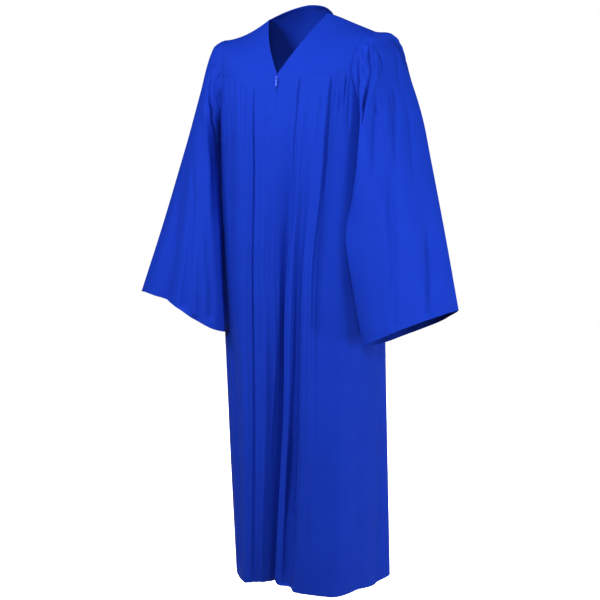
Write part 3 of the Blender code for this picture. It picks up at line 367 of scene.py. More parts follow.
# Camera, lamps and floor
CAMERA_TURNS = (26.0, 11.2, -2.0)  # azimuth, tilt, roll
CAMERA_PLACE = (-0.018, -2.5, -0.17)  # aside, ahead, up
LENS = 63.36
SENSOR = 36.0
CLIP = (0.05, 100)
GAMMA = 0.86
AMBIENT = 0.005
LAMP_TARGET = (0, 0, -0.55)
LAMP_AWAY = 2.4
LAMP_SIZE = 0.6
LAMPS = (
    # azimuth from the camera, height, watts
    (-30, 0.4, 39.0),
    (-60, 1.4, 30.0),
    (-90, 1.4, 33.0),
    (0, 0.4, 33.0),
    (30, -0.4, 15.5),
    (60, -1.1, 17.0),
    (60, 2.6, 24.0),
    (90, -1.1, 25.0),
    (180, 0.2, 70.0),
)
FLOOR_REACH = 3
FLOOR_HEIGHT = -1.62


# Small mathematics

def smooth_table(knots, values, at, start_slope=None):
    """A smooth curve through the values at the knots, read at other places."""
    knots, values = np.asarray(knots, float), np.asarray(values, float)
    slopes = knot_slopes(knots, values)
    if start_slope is not None:
        slopes[0] = start_slope
    cell, t, span = cell_of(knots, at)
    if values.ndim > 1:
        t, span = t[:, None], span[:, None]
    return hermite(t, values[cell], values[cell + 1], slopes[cell] * span, slopes[cell + 1] * span)


def cell_of(knots, at):
    """The cell that holds each place, how far into it the place is, and the cell's width."""
    at = np.clip(np.asarray(at, float), knots[0], knots[-1])
    cell = np.clip(np.searchsorted(knots, at, side="right") - 1, 0, len(knots) - 2)
    span = knots[cell + 1] - knots[cell]
    return cell, (at - knots[cell]) / span, span


def knot_slopes(knots, values):
    """Slopes at the knots that never overshoot: level at every peak and trough."""
    steps = np.diff(values, axis=0) / np.diff(knots).reshape(-1, *[1] * (values.ndim - 1))
    before, after = steps[:-1], steps[1:]
    product = before * after
    total = np.where(product > 0, before + after, 1.0)
    inside = np.where(product > 0, 2 * product / total, 0.0)
    return np.concatenate([steps[:1], inside, steps[-1:]])


def hermite(t, start, end, start_slope, end_slope):
    return (
        start * (2 * t**3 - 3 * t**2 + 1)
        + start_slope * (t**3 - 2 * t**2 + t)
        + end * (3 * t**2 - 2 * t**3)
        + end_slope * (t**3 - t**2)
    )


def ease(t):
    t = np.clip(t, 0, 1)
    return t * t * (3 - 2 * t)


def bump(away, reach):
    return np.exp(-((away / reach) ** 2))


def signed_power(value, power):
    return np.sign(value) * np.abs(value) ** power


def unit(vectors):
    return vectors / np.maximum(np.linalg.norm(vectors, axis=-1, keepdims=True), TINY)


def arc(points, axis):
    """Running length along one axis of a grid of points."""
    steps = np.linalg.norm(np.diff(points, axis=axis), axis=-1)
    start = np.zeros_like(np.take(steps, [0], axis=axis))
    return np.concatenate([start, np.cumsum(steps, axis=axis)], axis=axis)


def chord_shares(points):
    length = arc(points, 0)
    return length / length[-1]


def read_line(points, measure, at):
    """Places on a line of points, read at distances along it."""
    return np.stack([np.interp(at, measure, points[:, i]) for i in range(3)], axis=-1)


def shares_along(length, starts, stops, step):
    """Shares of a length: given distances in mm at both ends and even steps between."""
    starts, stops = np.array(starts) * MM, length - np.array(stops)[::-1] * MM
    count = max(2, round((stops[0] - starts[-1]) / step))
    middle = np.linspace(starts[-1], stops[0], count + 1)[1:-1]
    return np.concatenate([starts, middle, stops]) / length


# The ring of folds

def ring_rows():
    """Every fold from the right side seam round the front and the back, and that seam again."""
    rows = [*FRONT_FOLDS, ("side seam left", (90, 90, 90, 90, 88), SIDE_LEFT_OFFSETS, 0)]
    share = np.array(LEVEL_SHARE)
    for number, flute in enumerate(BACK_FLUTES):
        crest_yoke, crest_hem, valley_yoke, valley_hem, chest, hem = flute
        depth = chest * np.minimum(share * 4, 1) + (hem - chest) * share**1.3
        crest = crest_yoke + (crest_hem - crest_yoke) * share
        valley = valley_yoke + (valley_hem - valley_yoke) * share
        rows += [(f"crest {number}", crest, depth, 0), (f"valley {number}", valley, -depth, 0.6)]
    rows[-1] = ("side seam end", (270, 270, 270, 270, 270), FRONT_FOLDS[0][2], 0)
    return rows


RING = ring_rows()
RING_ANGLES, RING_OFFSETS, RING_CRISP = (
    np.array([row[i] for row in RING], float) for i in (1, 2, 3)
)
RING_OFFSETS *= MM


def place(name):
    return [row[0] for row in RING].index(name)


FRONT, SIDE_LEFT, RING_END = place("centre front"), place("side seam left"), len(RING) - 1
FRONT_CORNERS = {"right": place("corner right"), "left": place("corner left")}
BACK_CORNERS = {"right": place("valley 7"), "left": place("valley 1")}
UNDERARMS = {"right": (0, RING_END), "left": (SIDE_LEFT, SIDE_LEFT)}  # reached in front, behind
TOP_SEAMS = (
    # fold, drop
    (0, UNDERARM_DROP),
    (FRONT_CORNERS["right"], FRONT_YOKE_DROP),
    (FRONT_CORNERS["left"], FRONT_YOKE_DROP),
    (SIDE_LEFT, UNDERARM_DROP),
    (BACK_CORNERS["left"], BACK_YOKE_DROP),
    (BACK_CORNERS["right"], BACK_YOKE_DROP),
    (RING_END, UNDERARM_DROP),
)
BODY_RUNS = {
    # the ring's columns and their spacing
    "front_right": (0, FRONT, 2.1 * MM),
    "front_left": (FRONT, SIDE_LEFT, 2.1 * MM),
    "back": (SIDE_LEFT, RING_END, 3.2 * MM),
}


def fold_values(column, drop):
    """The ring's angle and offset anywhere between two folds."""
    row = np.clip(np.floor(column + TINY).astype(int), 0, len(RING) - 2)
    t = np.clip(column - row, 0, 1)
    before, after = (level_value(RING_ANGLES, row + i, drop) for i in (0, 1))
    low, high = (level_value(RING_OFFSETS, row + i, drop) for i in (0, 1))
    leave, arrive = (RING_CRISP[row + i] * (high - low) for i in (0, 1))
    return before * (1 - t) + after * t, hermite(t, low, high, leave, arrive)


def level_value(table, row, drop):
    knots = np.array(LEVELS)
    slopes = knot_slopes(knots, table.T).T
    cell, t, span = cell_of(knots, drop)
    return hermite(
        t, table[row, cell], table[row, cell + 1],
        slopes[row, cell] * span, slopes[row, cell + 1] * span,
    )


def crease_offset(sideways, columns, drop):
    """Soft troughs and ridges, each with its own length, depth and two widths."""
    total = np.zeros(drop.shape)
    aside, often, start = CREASE_WANDER
    for top, low, starts, full, fading, ends, depth, before, after in CREASES:
        if not columns[0, 0] < top < columns[0, -1]:
            continue
        share = np.clip((drop[:, 0] - starts) / (ends - starts), 0, 1)
        at = top + (low - top) * share
        if depth > STRAIGHT_DEPTH:
            at += aside * np.sin(drop[:, 0] * often + top * start) * ease(share * 4)
        middle = np.array([np.interp(a, c, s) for a, c, s in zip(at, columns, sideways)])
        away = sideways - middle[:, None]
        width = np.where(away < 0, before, after) * MM
        along = ease((drop - starts) / (full - starts)) * ease((ends - drop) / (ends - fading))
        total += CREASE_DEPTH * depth * MM * bump(away, width) * along
    return total


def gather_offset(angle, below_seam):
    """Small uneven waves under the yokes, which die away down the cloth."""
    total = np.zeros_like(angle)
    for middle, reach, waves, depth, length in GATHERS:
        across = (angle - middle) / reach
        window = ease(GATHERS_EDGE * (1 - np.abs(across)))
        uneven = across.copy()
        for aside, often, start in GATHERS_WANDER:
            uneven += aside * np.sin(angle * often + start * middle)
        wave = np.cos(math.pi * waves * uneven)
        swell = ease(below_seam / GATHERS_FULL) * bump(below_seam, length)
        total += depth * MM * window * wave * swell
    return total


# The body

def top_drop(column):
    """How far below the shoulders the cloth starts, at the yokes' seams and round the armholes."""
    knots, seams = np.transpose(TOP_SEAMS)
    cell, t, _ = cell_of(knots, column)
    low, high = seams[cell], seams[cell + 1]
    falling = np.sin(t * math.pi / 2) ** ARMHOLE_POWER
    rising = 1 - np.sin((1 - t) * math.pi / 2) ** ARMHOLE_POWER
    return low + (high - low) * np.where(high >= low, falling, rising)


def body_point(column, drop):
    angle, offset = fold_values(column, drop)
    offset = offset + gather_offset(angle, drop - top_drop(column))
    turn = np.radians(angle)
    drops, *sizes = zip(*BODY_SECTIONS)
    sizes = smooth_table(drops, np.transpose(sizes), drop.ravel())
    half_width, front, back, sway, power = sizes.T.reshape(-1, *drop.shape)
    depth = np.where(np.cos(turn) >= 0, front + SIDE_Y, back - SIDE_Y)
    outward = unit(np.stack([np.sin(turn) / half_width, -np.cos(turn) / depth], axis=-1))
    x = sway + half_width * signed_power(np.sin(turn), power) + offset * outward[..., 0]
    y = SIDE_Y - depth * signed_power(np.cos(turn), power) + offset * outward[..., 1]
    return np.stack([x, y, -drop], axis=-1)


def ring_columns(start, stop, pitch=COLUMN):
    """Fine columns with one on every fold, and closer ones beside the crisp folds."""
    if start > stop:
        return ring_columns(stop, start, pitch)[::-1]
    columns = [float(start)]
    for row in range(start, stop):
        ends = body_point(np.array([row, row + 1.0]), np.array([MEASURED_DROP, MEASURED_DROP]))
        length = np.linalg.norm(ends[1] - ends[0])
        fine = FINE_SHARE if max(RING_CRISP[row], RING_CRISP[row + 1]) >= CRISP else 1
        count = max(2, math.ceil(length / (pitch * fine)))
        columns += [row + k / count for k in range(1, count + 1)]
    return np.array(columns)


def body_grid(start, stop, pitch):
    """Rows from the yoke seam or armhole to the hem, with the columns' and rows' own places."""
    columns = ring_columns(start, stop, pitch)
    top = top_drop(columns) - SEAM_LAP
    share = shares_along(LENGTH - FRONT_YOKE_DROP, SEAM_ROWS, HEM_ROWS, ROW)[:, None]
    drop = top + (LENGTH - top) * share
    columns = np.broadcast_to(columns, drop.shape)
    grid = body_point(columns, drop)
    grid[..., 2] -= hem_fall(columns) * ease((drop - FALL_STARTS) / (LENGTH - FALL_STARTS))
    return pulled_in(grid, (1,)), columns, drop


def hem_fall(columns):
    """The hem hangs lower inside the deep fold beside the centre front and at the left side."""
    before, deepest, after = (place(name) + aside for name, aside in FALLING_FOLD)
    rising = ease((columns - before) / (deepest - before))
    fold = rising * ease((after - columns) / (after - deepest))
    side = ease(1 - np.abs(columns - SIDE_FALL_COLUMN) / SIDE_FALL_REACH)
    return HEM_FALL * fold + SIDE_FALL * side


def pulled_in(grid, axes=(0, 1)):
    """The grid with the lines at its edges half a seam's gap inside their places."""
    grid = grid.copy()
    for edge, beside in ((0, 1), (-1, -2)):
        for axis in axes:
            lines = np.moveaxis(grid, axis, 0)
            lines[edge] += SEAM_GAP / 2 * unit(lines[beside] - lines[edge])
    return grid


# The yokes

YOKE_SHARES = shares_along(YOKE_LENGTH, SEAM_ROWS[:7], SEAM_ROWS[:7], YOKE_ROW)


def patch(top, bottom, left, right, t):
    """A surface between four edges."""
    t = t[:, None, None]
    s = chord_shares(bottom)[None, :, None]
    ruled = (1 - t) * top[None] + t * bottom[None]
    sides = (1 - s) * left[:, None] + s * right[:, None]
    high = (1 - s) * top[0] + s * top[-1]
    low = (1 - s) * bottom[0] + s * bottom[-1]
    return ruled + sides - (1 - t) * high - t * low


def bowed(start, end, share, bows):
    """A line between two points that each axis leaves slowly (bow under 0) or quickly (over 0)."""
    slow, quick = 1 - np.cos(share * math.pi / 2), np.sin(share * math.pi / 2)
    along = [share + abs(bow) * ((quick if bow > 0 else slow) - share) for bow in bows]
    return start + (end - start) * np.stack(along, axis=-1)


def shoulder_line(share, side):
    end_x, end_y, end_z = SHOULDER_END
    x = NECK_HALF + (end_x - NECK_HALF) * share
    bow, rise = SHOULDER_BOW[side], SHOULDER_RISE[side]
    z = end_z * share + 4 * bow * share * (1 - share) + rise * share**3
    return np.stack([SIDES[side] * x, end_y * share, z - SHOULDER_DIP[side]], axis=-1)


def yoke_seam(start, stop, drop, first_columns):
    """A yoke's lower edge along the ring, with its columns' shares of its length."""
    columns = ring_columns(start, stop)
    seam = body_point(columns, np.full(columns.shape, drop))
    shares = shares_along(arc(seam, 0)[-1], first_columns, SEAM_ROWS[:6], COLUMN)
    return read_line(seam, chord_shares(seam), shares), shares


def front_yoke_grid(side):
    """Rows from the shoulder seam to the yoke seam, columns from the V edge to the armhole."""
    seam, _ = yoke_seam(FRONT, FRONT_CORNERS[side], FRONT_YOKE_DROP, EDGE_ROWS)
    shoulder = shoulder_line(chord_shares(seam), side)
    neckline = bowed(shoulder[0], seam[0], YOKE_SHARES, NECK_BOW)
    armhole = bowed(shoulder[-1], seam[-1], YOKE_SHARES, ARMHOLE_BOW)
    return patch(shoulder, seam, neckline, armhole, YOKE_SHARES)


def back_yoke_grid():
    """Rows from the shoulders and the neck to the yoke seam, columns from left to right."""
    ends = BACK_CORNERS["left"], BACK_CORNERS["right"]
    seam, shares = yoke_seam(*ends, BACK_YOKE_DROP, SEAM_ROWS[:6])
    top = np.array([back_top_edge(share) for share in shares])
    knots, *leaves = zip(*BACK_YOKE_LEAVES)
    leave = unit(smooth_table(knots, np.transpose(leaves), 0.5 - np.abs(shares - 0.5)))
    arrive = np.array(BACK_YOKE_ARRIVES)
    reach = BACK_YOKE_SWELL * np.linalg.norm(seam - top, axis=1)[:, None]
    return np.array([hermite(t, top, seam, leave * reach, arrive * reach) for t in YOKE_SHARES])


def back_top_edge(share):
    """Down one shoulder from its end, round the back neck and out along the other."""
    side = "left" if share < 0.5 else "right"
    from_end = min(share, 1 - share) / SHOULDER_SHARE
    if from_end <= 1:
        return shoulder_line(1 - from_end, side)
    turn = math.pi / 2 * (from_end - 1) / (0.5 / SHOULDER_SHARE - 1)
    return np.array([
        SIDES[side] * NECK_HALF * math.cos(turn),
        NECK_BACK * math.sin(turn),
        NECK_RISE * math.sin(turn) ** NECK_POWER - SHOULDER_DIP[side] * math.cos(turn),
    ])


# The sleeves

def armhole_ring(side, shares):
    """An armhole from the shoulder seam, forward first, and the way the cloth leaves it."""
    front, back = front_yoke_grid(side), back_yoke_grid()
    if side == "right":
        back = back[:, ::-1]
    front_out = unit(front[:, -1] - front[:, -3])
    back_out = unit(back[:, 0] - back[:, 2])
    lower = []
    for corners, underarm in zip((FRONT_CORNERS, BACK_CORNERS), UNDERARMS[side]):
        columns = ring_columns(corners[side], underarm)
        lower.append(body_point(columns, top_drop(columns)))
    low_front, low_back = lower[0][1:], lower[1][-2::-1]
    ring = np.concatenate([front[:, -1], low_front, low_back, back[-2::-1, 0]])
    outward = np.concatenate([
        front_out,
        np.broadcast_to(front_out[-1], low_front.shape),
        np.broadcast_to(back_out[-1], low_back.shape),
        back_out[-2::-1],
    ])
    measure = chord_shares(ring)
    return read_line(ring, measure, shares), read_line(outward, measure, shares)


def sleeve_section(row, angle, side):
    """One ring of a sleeve, between its outer and its inner line."""
    outer, inner = np.array(row[1:4]), np.array(row[4:7])
    front, back, turn, pitch, pinch_outer, pinch_inner = row[7:]
    turn = math.radians(turn)
    ahead = np.array([math.sin(turn), -math.cos(turn), -pitch])
    outerness = (1 + np.cos(angle)) / 2
    pinch = pinch_outer * outerness + pinch_inner * (1 - outerness)
    swing = signed_power(np.sin(angle), pinch) * np.where(np.sin(angle) >= 0, front, back)
    points = (outer + inner) / 2 + np.cos(angle)[:, None] * (outer - inner) / 2
    points += swing[:, None] * ahead
    points[:, 0] *= SIDES[side]
    return points


def sleeve_fold_offset(degrees, share, side):
    """The long folds that open towards the cuff."""
    total = np.zeros(np.broadcast(degrees, share).shape)
    for head, cuff, starts, full, depth, reach in SLEEVE_FOLDS[side]:
        centre = head + (cuff - head) * share
        away = (degrees - centre + 180) % 360 - 180
        total -= depth * MM * ease((share - starts) / (full - starts)) * bump(away, reach)
    return total


def head_gathers(degrees, share):
    """Small uneven gathers round the head of a sleeve, which die away down it."""
    from_top = np.abs((degrees + 180) % 360 - 180)
    plain = np.where(degrees <= 180, *HEAD_PLAIN)
    window = ease(HEAD_EDGE * (1 - from_top / HEAD_REACH)) * ease(from_top / plain)
    uneven = degrees.copy()
    for aside, often, start in HEAD_WANDER:
        uneven += aside * np.sin(np.radians(degrees * often + start))
    wave = np.cos(np.radians(uneven * HEAD_WAVES))
    mean, varying, often, start = HEAD_STRENGTH
    strength = mean + varying * np.sin(np.radians(degrees * often + start))
    least, more = HEAD_FADES
    swell = ease(share / HEAD_FULL) * bump(share, least + more * strength)
    return HEAD_DEPTH * strength * window * wave * swell


def line_offset(grid, degrees, shares, side):
    """Fold lines that wander over the sleeve, drawn as soft troughs and ridges."""
    around_of = np.unwrap(degrees, period=360)
    total = np.zeros(grid.shape[:2])
    for line in SLEEVE_LINES[side]:
        at = np.linspace(0, len(line) - 1, LINE_STEPS * (len(line) - 1) + 1)
        around, share, depth, width = smooth_table(np.arange(len(line)), line, at).T
        around = np.where(around < 180, around + 360, around)
        column = np.interp(around, around_of, np.arange(len(degrees)))
        row = np.interp(share, shares, np.arange(len(shares)))
        away, along = nearest_on_line(grid, grid_points(grid, row, column))
        depth, width = (np.interp(along, np.arange(len(at)), v) * MM for v in (depth, width))
        total += LINE_DEPTH * depth * bump(away, LINE_WIDTH * width)
    return total


def grid_points(grid, row, column):
    """Points on the grid at rows and columns that need not be whole."""
    low_row = np.clip(row.astype(int), 0, grid.shape[0] - 2)
    low_column = np.clip(column.astype(int), 0, grid.shape[1] - 2)
    t, s = (row - low_row)[:, None], (column - low_column)[:, None]
    above = grid[low_row, low_column] * (1 - s) + grid[low_row, low_column + 1] * s
    below = grid[low_row + 1, low_column] * (1 - s) + grid[low_row + 1, low_column + 1] * s
    return above * (1 - t) + below * t


def nearest_on_line(grid, points):
    """Each grid point's distance to a line, and how far along it the nearest place is."""
    best = np.full(grid.shape[:2], np.inf)
    along = np.zeros(grid.shape[:2])
    for number, (start, stop) in enumerate(zip(points[:-1], points[1:])):
        step = stop - start
        share = np.clip((grid - start) @ step / max(step @ step, TINY**2), 0, 1)
        away = np.linalg.norm(grid - start - share[..., None] * step, axis=-1)
        along = np.where(away < best, number + share, along)
        best = np.minimum(best, away)
    return best, along


def sleeve_turns():
    """Where the columns stand round a sleeve, in turns from its outer line, closer in front."""
    turns = np.linspace(0.5, 1.5, CROWDING_STEPS + 1)
    ahead = (np.sin(2 * math.pi * turns) + CROWDING_EDGE) / (2 * CROWDING_EDGE)
    crowd = np.cumsum(1 + FRONT_CROWDING * ease(ahead))
    crowd = (crowd - crowd[0]) / (crowd[-1] - crowd[0])
    return np.interp(np.arange(SLEEVE_CELLS) / SLEEVE_CELLS, crowd, turns) % 1


def sleeve_grid(side):
    """Rows from the armhole to the cuff; columns go round from the inner line.

    Over the top of the armhole the sleeve leaves along the yoke, so that both lie flush.
    """
    turns = sleeve_turns()
    angle = 2 * math.pi * turns
    armhole, leaving = armhole_ring(side, turns)
    sections = SLEEVE_SECTIONS[side]
    knots = [0.0] + [row[0] for row in sections]
    rings = np.array([armhole] + [sleeve_section(row, angle, side) for row in sections])
    head = tuple(np.arange(SEAM_ROWS[-1] + HEAD_ROW, SLEEVE_HEAD, HEAD_ROW))
    rows = shares_along(SLEEVE_LENGTH, SEAM_ROWS + head, HEM_ROWS, SLEEVE_ROW)
    first = (rings[1] - rings[0]) / knots[1]
    from_top = np.degrees(np.minimum(angle, 2 * math.pi - angle))
    flush = ease((np.where(angle <= math.pi, *FLUSH_REACH) - from_top) / FLUSH_FADE)[:, None]
    along_yoke = unit(leaving) * np.linalg.norm(first, axis=1, keepdims=True)
    start_slope = first * (1 - flush) + along_yoke * flush
    grid = smooth_table(knots, rings.reshape(len(rings), -1), rows, start_slope.ravel())
    grid = grid.reshape(len(rows), SLEEVE_CELLS, 3)
    grid[0] += SEAM_GAP * unit(grid[1] - grid[0])
    degrees, rise = zip(*CUFF_RISE[side])
    lift = smooth_table(degrees, rise, np.degrees(angle)) * MM
    grid[..., 2] += lift * ease((rows[:, None] - RISE_STARTS) / (1 - RISE_STARTS)) ** 2
    return grid, np.degrees(angle), rows


# Normals and edges

def tube_normals(grid):
    across = np.roll(grid, -1, axis=1) - np.roll(grid, 1, axis=1)
    normals = unit(np.cross(across, np.gradient(grid, axis=0)))
    cuff = grid[-1] - grid[-1].mean(axis=0)
    return normals if np.sum(normals[-1] * cuff) > 0 else -normals


def panel_normals(grid):
    normals = unit(np.cross(np.gradient(grid, axis=1), np.gradient(grid, axis=0)))
    inside = np.array([0.0, 0.0, grid[..., 2].mean() - 0.05])
    centre = tuple(n // 2 for n in grid.shape[:2])
    return normals if np.dot(normals[centre], grid[centre] - inside) > 0 else -normals


def turned(grid, normals, rows):
    """The grid with its last rows turned under, round a small roll and back inside."""
    down = unit(grid[-1] - grid[-2])
    turns = np.radians(ROLL_TURNS)[:, None, None]
    roll_normals = np.cos(turns) * normals[-1] + np.sin(turns) * down
    roll = grid[-1] - ROLL * normals[-1] + ROLL * roll_normals
    last, last_normals = grid[-1:-rows - 1:-1], normals[-1:-rows - 1:-1]
    return (
        np.concatenate([grid, roll, last - 2 * ROLL * last_normals]),
        np.concatenate([normals, roll_normals, -last_normals]),
    )


def turned_first_columns(grid, normals, columns):
    """The same on the first columns of a panel."""
    swapped = (values[:, ::-1].transpose(1, 0, 2) for values in (grid, normals))
    return tuple(values.transpose(1, 0, 2)[:, ::-1] for values in turned(*swapped, columns))


def seam_dip(distance, depth=SEAM_DIP, reach=SEAM_REACH):
    return -depth * bump(distance, reach)


# Meshes

def shell(name, outer, normals, material, closed=False, thickness=CLOTH):
    """A thin closed sheet on a grid of points, with a map in metres."""
    index = np.arange(outer[..., 0].size).reshape(outer.shape[:2])
    points = np.concatenate([outer.reshape(-1, 3), (outer - thickness * normals).reshape(-1, 3)])
    wide = np.concatenate([index, index[:, :1]], axis=1) if closed else index
    across, along = arc(points[wide], 1), arc(points[wide], 0)
    across = across - across[:, across.shape[1] // 2][:, None]
    metres = np.stack([across, -along], axis=-1).reshape(-1, 2)
    where = np.arange(wide.size).reshape(wide.shape)
    front, front_map = quads(wide), quads(where)
    faces, maps = [front, front[:, ::-1] + index.size], [front_map, front_map[:, ::-1]]
    for (a, b), (a_map, b_map) in zip(borders(wide, closed), borders(where, closed)):
        faces.append(np.stack([a, b, b + index.size, a + index.size], axis=-1))
        maps.append(np.stack([a_map, b_map, b_map, a_map], axis=-1))
    faces, maps = np.concatenate(faces), np.concatenate(maps)
    middle = faces[len(front) // 2]
    corner = points[middle]
    facing = np.cross(corner[1] - corner[0], corner[3] - corner[0])
    if np.dot(facing, normals.reshape(-1, 3)[middle[0]]) < 0:
        faces, maps = faces[:, ::-1], maps[:, ::-1]
    thing = mesh_object(name, points, faces, material, metres[maps.ravel()])
    mark_rims(thing.data, index, closed)
    return thing


def quads(of):
    """The four corners of every cell of a grid of numbers."""
    corners = [of[:-1, :-1], of[:-1, 1:], of[1:, 1:], of[1:, :-1]]
    return np.stack(corners, axis=-1).reshape(-1, 4)


def borders(of, closed):
    """Both ends of every step along a grid's first and last rows, and its sides unless closed."""
    pairs = [
        (of[0, 1:], of[0, :-1]),
        (of[-1, :-1], of[-1, 1:]),
        (of[:-1, 0], of[1:, 0]),
        (of[1:, -1], of[:-1, -1]),
    ]
    return pairs[:2] if closed else pairs


def mesh_object(name, points, faces, material, corner_map=None):
    """A smooth mesh of faces with four corners."""
    mesh = bpy.data.meshes.new(name)
    mesh.vertices.add(len(points))
    mesh.vertices.foreach_set("co", np.asarray(points, np.float32).ravel())
    mesh.loops.add(faces.size)
    mesh.loops.foreach_set("vertex_index", faces.astype(np.int32).ravel())
    mesh.polygons.add(len(faces))
    mesh.polygons.foreach_set("loop_start", np.arange(0, faces.size, 4, dtype=np.int32))
    mesh.polygons.foreach_set("use_smooth", np.full(len(faces), True))
    if corner_map is not None:
        layer = mesh.uv_layers.new(name="Metres")
        layer.data.foreach_set("uv", np.asarray(corner_map, np.float32).ravel())
    mesh.update(calc_edges=True)
    mesh.validate()
    mesh.materials.append(material)
    return linked(name, mesh)


def linked(name, data):
    thing = bpy.data.objects.new(name, data)
    bpy.context.scene.collection.objects.link(thing)
    return thing


def mark_rims(mesh, index, closed):
    """The thin rims of a sheet are sharp, so that its edges shade cleanly."""
    border = np.zeros(index.size, bool)
    border[index[[0, -1]]] = True
    if not closed:
        border[index[:, [0, -1]]] = True
    edges = np.zeros(2 * len(mesh.edges), np.int32)
    mesh.edges.foreach_get("vertices", edges)
    edges = edges.reshape(-1, 2)
    behind = edges >= index.size
    sharp = border[edges % index.size].all(axis=1) & (behind[:, 0] == behind[:, 1])
    mesh.attributes.new("sharp_edge", "BOOLEAN", "EDGE").data.foreach_set("value", sharp)


# Materials

class Nodes:
    """A short way to write a material's nodes."""

    def __init__(self, name):
        self.material = bpy.data.materials.new(name)
        self.material.use_nodes = True
        self.tree = self.material.node_tree
        self.shader = self.tree.nodes["Principled BSDF"]

    def add(self, kind, settings=None, **inputs):
        node = self.tree.nodes.new("ShaderNode" + kind)
        for key, value in (settings or {}).items():
            setattr(node, key, value)
        for key, value in inputs.items():
            self.put(node, int(key[1:]) if key[0] == "_" else key.replace("_", " "), value)
        return node.outputs[0]

    def put(self, node, socket, value):
        if isinstance(value, bpy.types.NodeSocket):
            self.tree.links.new(value, node.inputs[socket])
        else:
            node.inputs[socket].default_value = value

    def math(self, operation, first, second=0.0):
        return self.add("Math", {"operation": operation}, _0=first, _1=second)

    def mix(self, first, first_share, second, second_share):
        first = self.math("MULTIPLY", first, first_share)
        return self.math("ADD", first, self.math("MULTIPLY", second, second_share))

    def noise(self, **inputs):
        """Noise that stays with the object, in its own metres."""
        position = self.add("TexCoord").node.outputs["Object"]
        return self.add("TexNoise", Vector=position, **inputs)

    def ramp(self, factor, low, high, start=0.0, stop=1.0):
        colours = self.add("ValToRGB", Fac=factor)
        for element, place_at, colour in zip(
            colours.node.color_ramp.elements, (start, stop), (low, high)
        ):
            element.position = place_at
            element.color = (*colour, 1)
        return colours

    def set(self, **values):
        for key, value in values.items():
            self.put(self.shader, key.replace("_", " "), value)


def shaded(colour, share):
    return [min(1, value * share) for value in colour]


def cloth_material(name, light, dark, pitch, weave=0.12):
    """Matt woven polyester: a plain weave, uneven yarn and soft wear in the dye."""
    made = Nodes(name)
    metres = made.add("UVMap", {"uv_map": "Metres"})
    split = made.add("SeparateXYZ", _0=metres).node
    turn = 2 * math.pi / pitch
    warp, weft = (
        made.math("SINE", made.math("MULTIPLY", split.outputs[i], turn)) for i in (0, 1)
    )
    stretched = made.add("VectorMath", {"operation": "MULTIPLY"}, _0=metres, _1=(60, 1400, 1))
    slub = made.add("TexNoise", {"noise_dimensions": "2D"}, Vector=stretched, Scale=1.0, Detail=2.0)
    cloud = made.noise(Scale=7.0, Detail=3.0, Roughness=0.6)
    fine = made.noise(Scale=220.0, Detail=2.0)
    colour = made.ramp(made.mix(slub, 0.35, cloud, 0.65), dark, light, 0.3, 0.7)
    rough = made.add("MapRange", _0=fine, _1=0.3, _2=0.7, _3=0.70, _4=0.80)
    height = made.mix(made.math("MULTIPLY", warp, weft), 0.5, slub, 0.6)
    relief = made.add("Bump", Strength=weave, Distance=0.0002, Height=height)
    made.set(Base_Color=colour, Roughness=rough, Normal=relief)
    made.set(Sheen_Weight=0.02, Sheen_Roughness=0.4, Sheen_Tint=(0.1, 0.25, 1.0, 1.0))
    made.set(Specular_IOR_Level=0.06)
    return made.material


def thread_material(name, colour):
    """Spun polyester thread or coil."""
    made = Nodes(name)
    grain = made.noise(Scale=900.0, Detail=2.0)
    relief = made.add("Bump", Strength=0.4, Distance=0.0001, Height=grain)
    shades = made.ramp(grain, shaded(colour, 0.7), shaded(colour, 1.25))
    made.set(Base_Color=shades, Normal=relief, Roughness=0.5)
    return made.material


def enamel_material(name, colour):
    """Stoved enamel on a small casting, thinner and scuffed in places."""
    made = Nodes(name)
    cloud = made.noise(Scale=500.0, Detail=4.0)
    shades = made.ramp(cloud, shaded(colour, 0.8), colour, 0.35, 0.7)
    rough = made.add("MapRange", _0=cloud, _1=0.3, _2=0.7, _3=0.42, _4=0.55)
    relief = made.add("Bump", Strength=0.15, Distance=0.0001, Height=cloud)
    made.set(Base_Color=shades, Roughness=rough, Normal=relief)
    made.set(Specular_IOR_Level=0.35)
    return made.material


# The pieces

def make_body(fabric):
    grids, normals = {}, {}
    for name, run in BODY_RUNS.items():
        grid, columns, drop = body_grid(*run)
        sideways = arc(grid, 1)
        edge = np.minimum(sideways, sideways[:, -1:] - sideways)
        dip = seam_dip(arc(grid, 0)) + seam_dip(edge, SIDE_SEAM_DIP)
        dip += crease_offset(sideways, columns, drop)
        grids[name] = grid + panel_normals(grid) * dip[..., None]
        if name != "back":
            part_front_edge(name, grids[name], drop)
        normals[name] = panel_normals(grids[name])
    names = list(BODY_RUNS)
    for before, after in zip(names, names[1:] + names[:1]):
        shared = unit(normals[before][:, -1] + normals[after][:, 0])
        normals[before][:, -1] = shared
        normals[after][:, 0] = shared
    made = {}
    for name, grid in grids.items():
        outer = turned(grid, normals[name], len(HEM_ROWS))
        made[name] = shell(f"{name}_cloth", *outer, fabric)
    return made, grids, normals


def part_front_edge(name, grid, drop):
    """A front edge stands aside for the slider's neck."""
    inwards = slice(None, None, -1 if name == "front_right" else 1)
    columns, drop = grid[:, inwards], drop[:, inwards]
    drops, widths = zip(*ZIP_PARTING)
    aside = smooth_table(drops, widths, drop[:, 0])
    inward = unit(columns[:, PARTED_COLUMNS] - columns[:, 0])
    beside = columns[:, :PARTED_COLUMNS]
    distance = np.linalg.norm(beside - columns[:, :1], axis=-1)
    beside += ease(1 - distance / PARTED_REACH)[..., None] * (aside[:, None] * inward)[:, None]


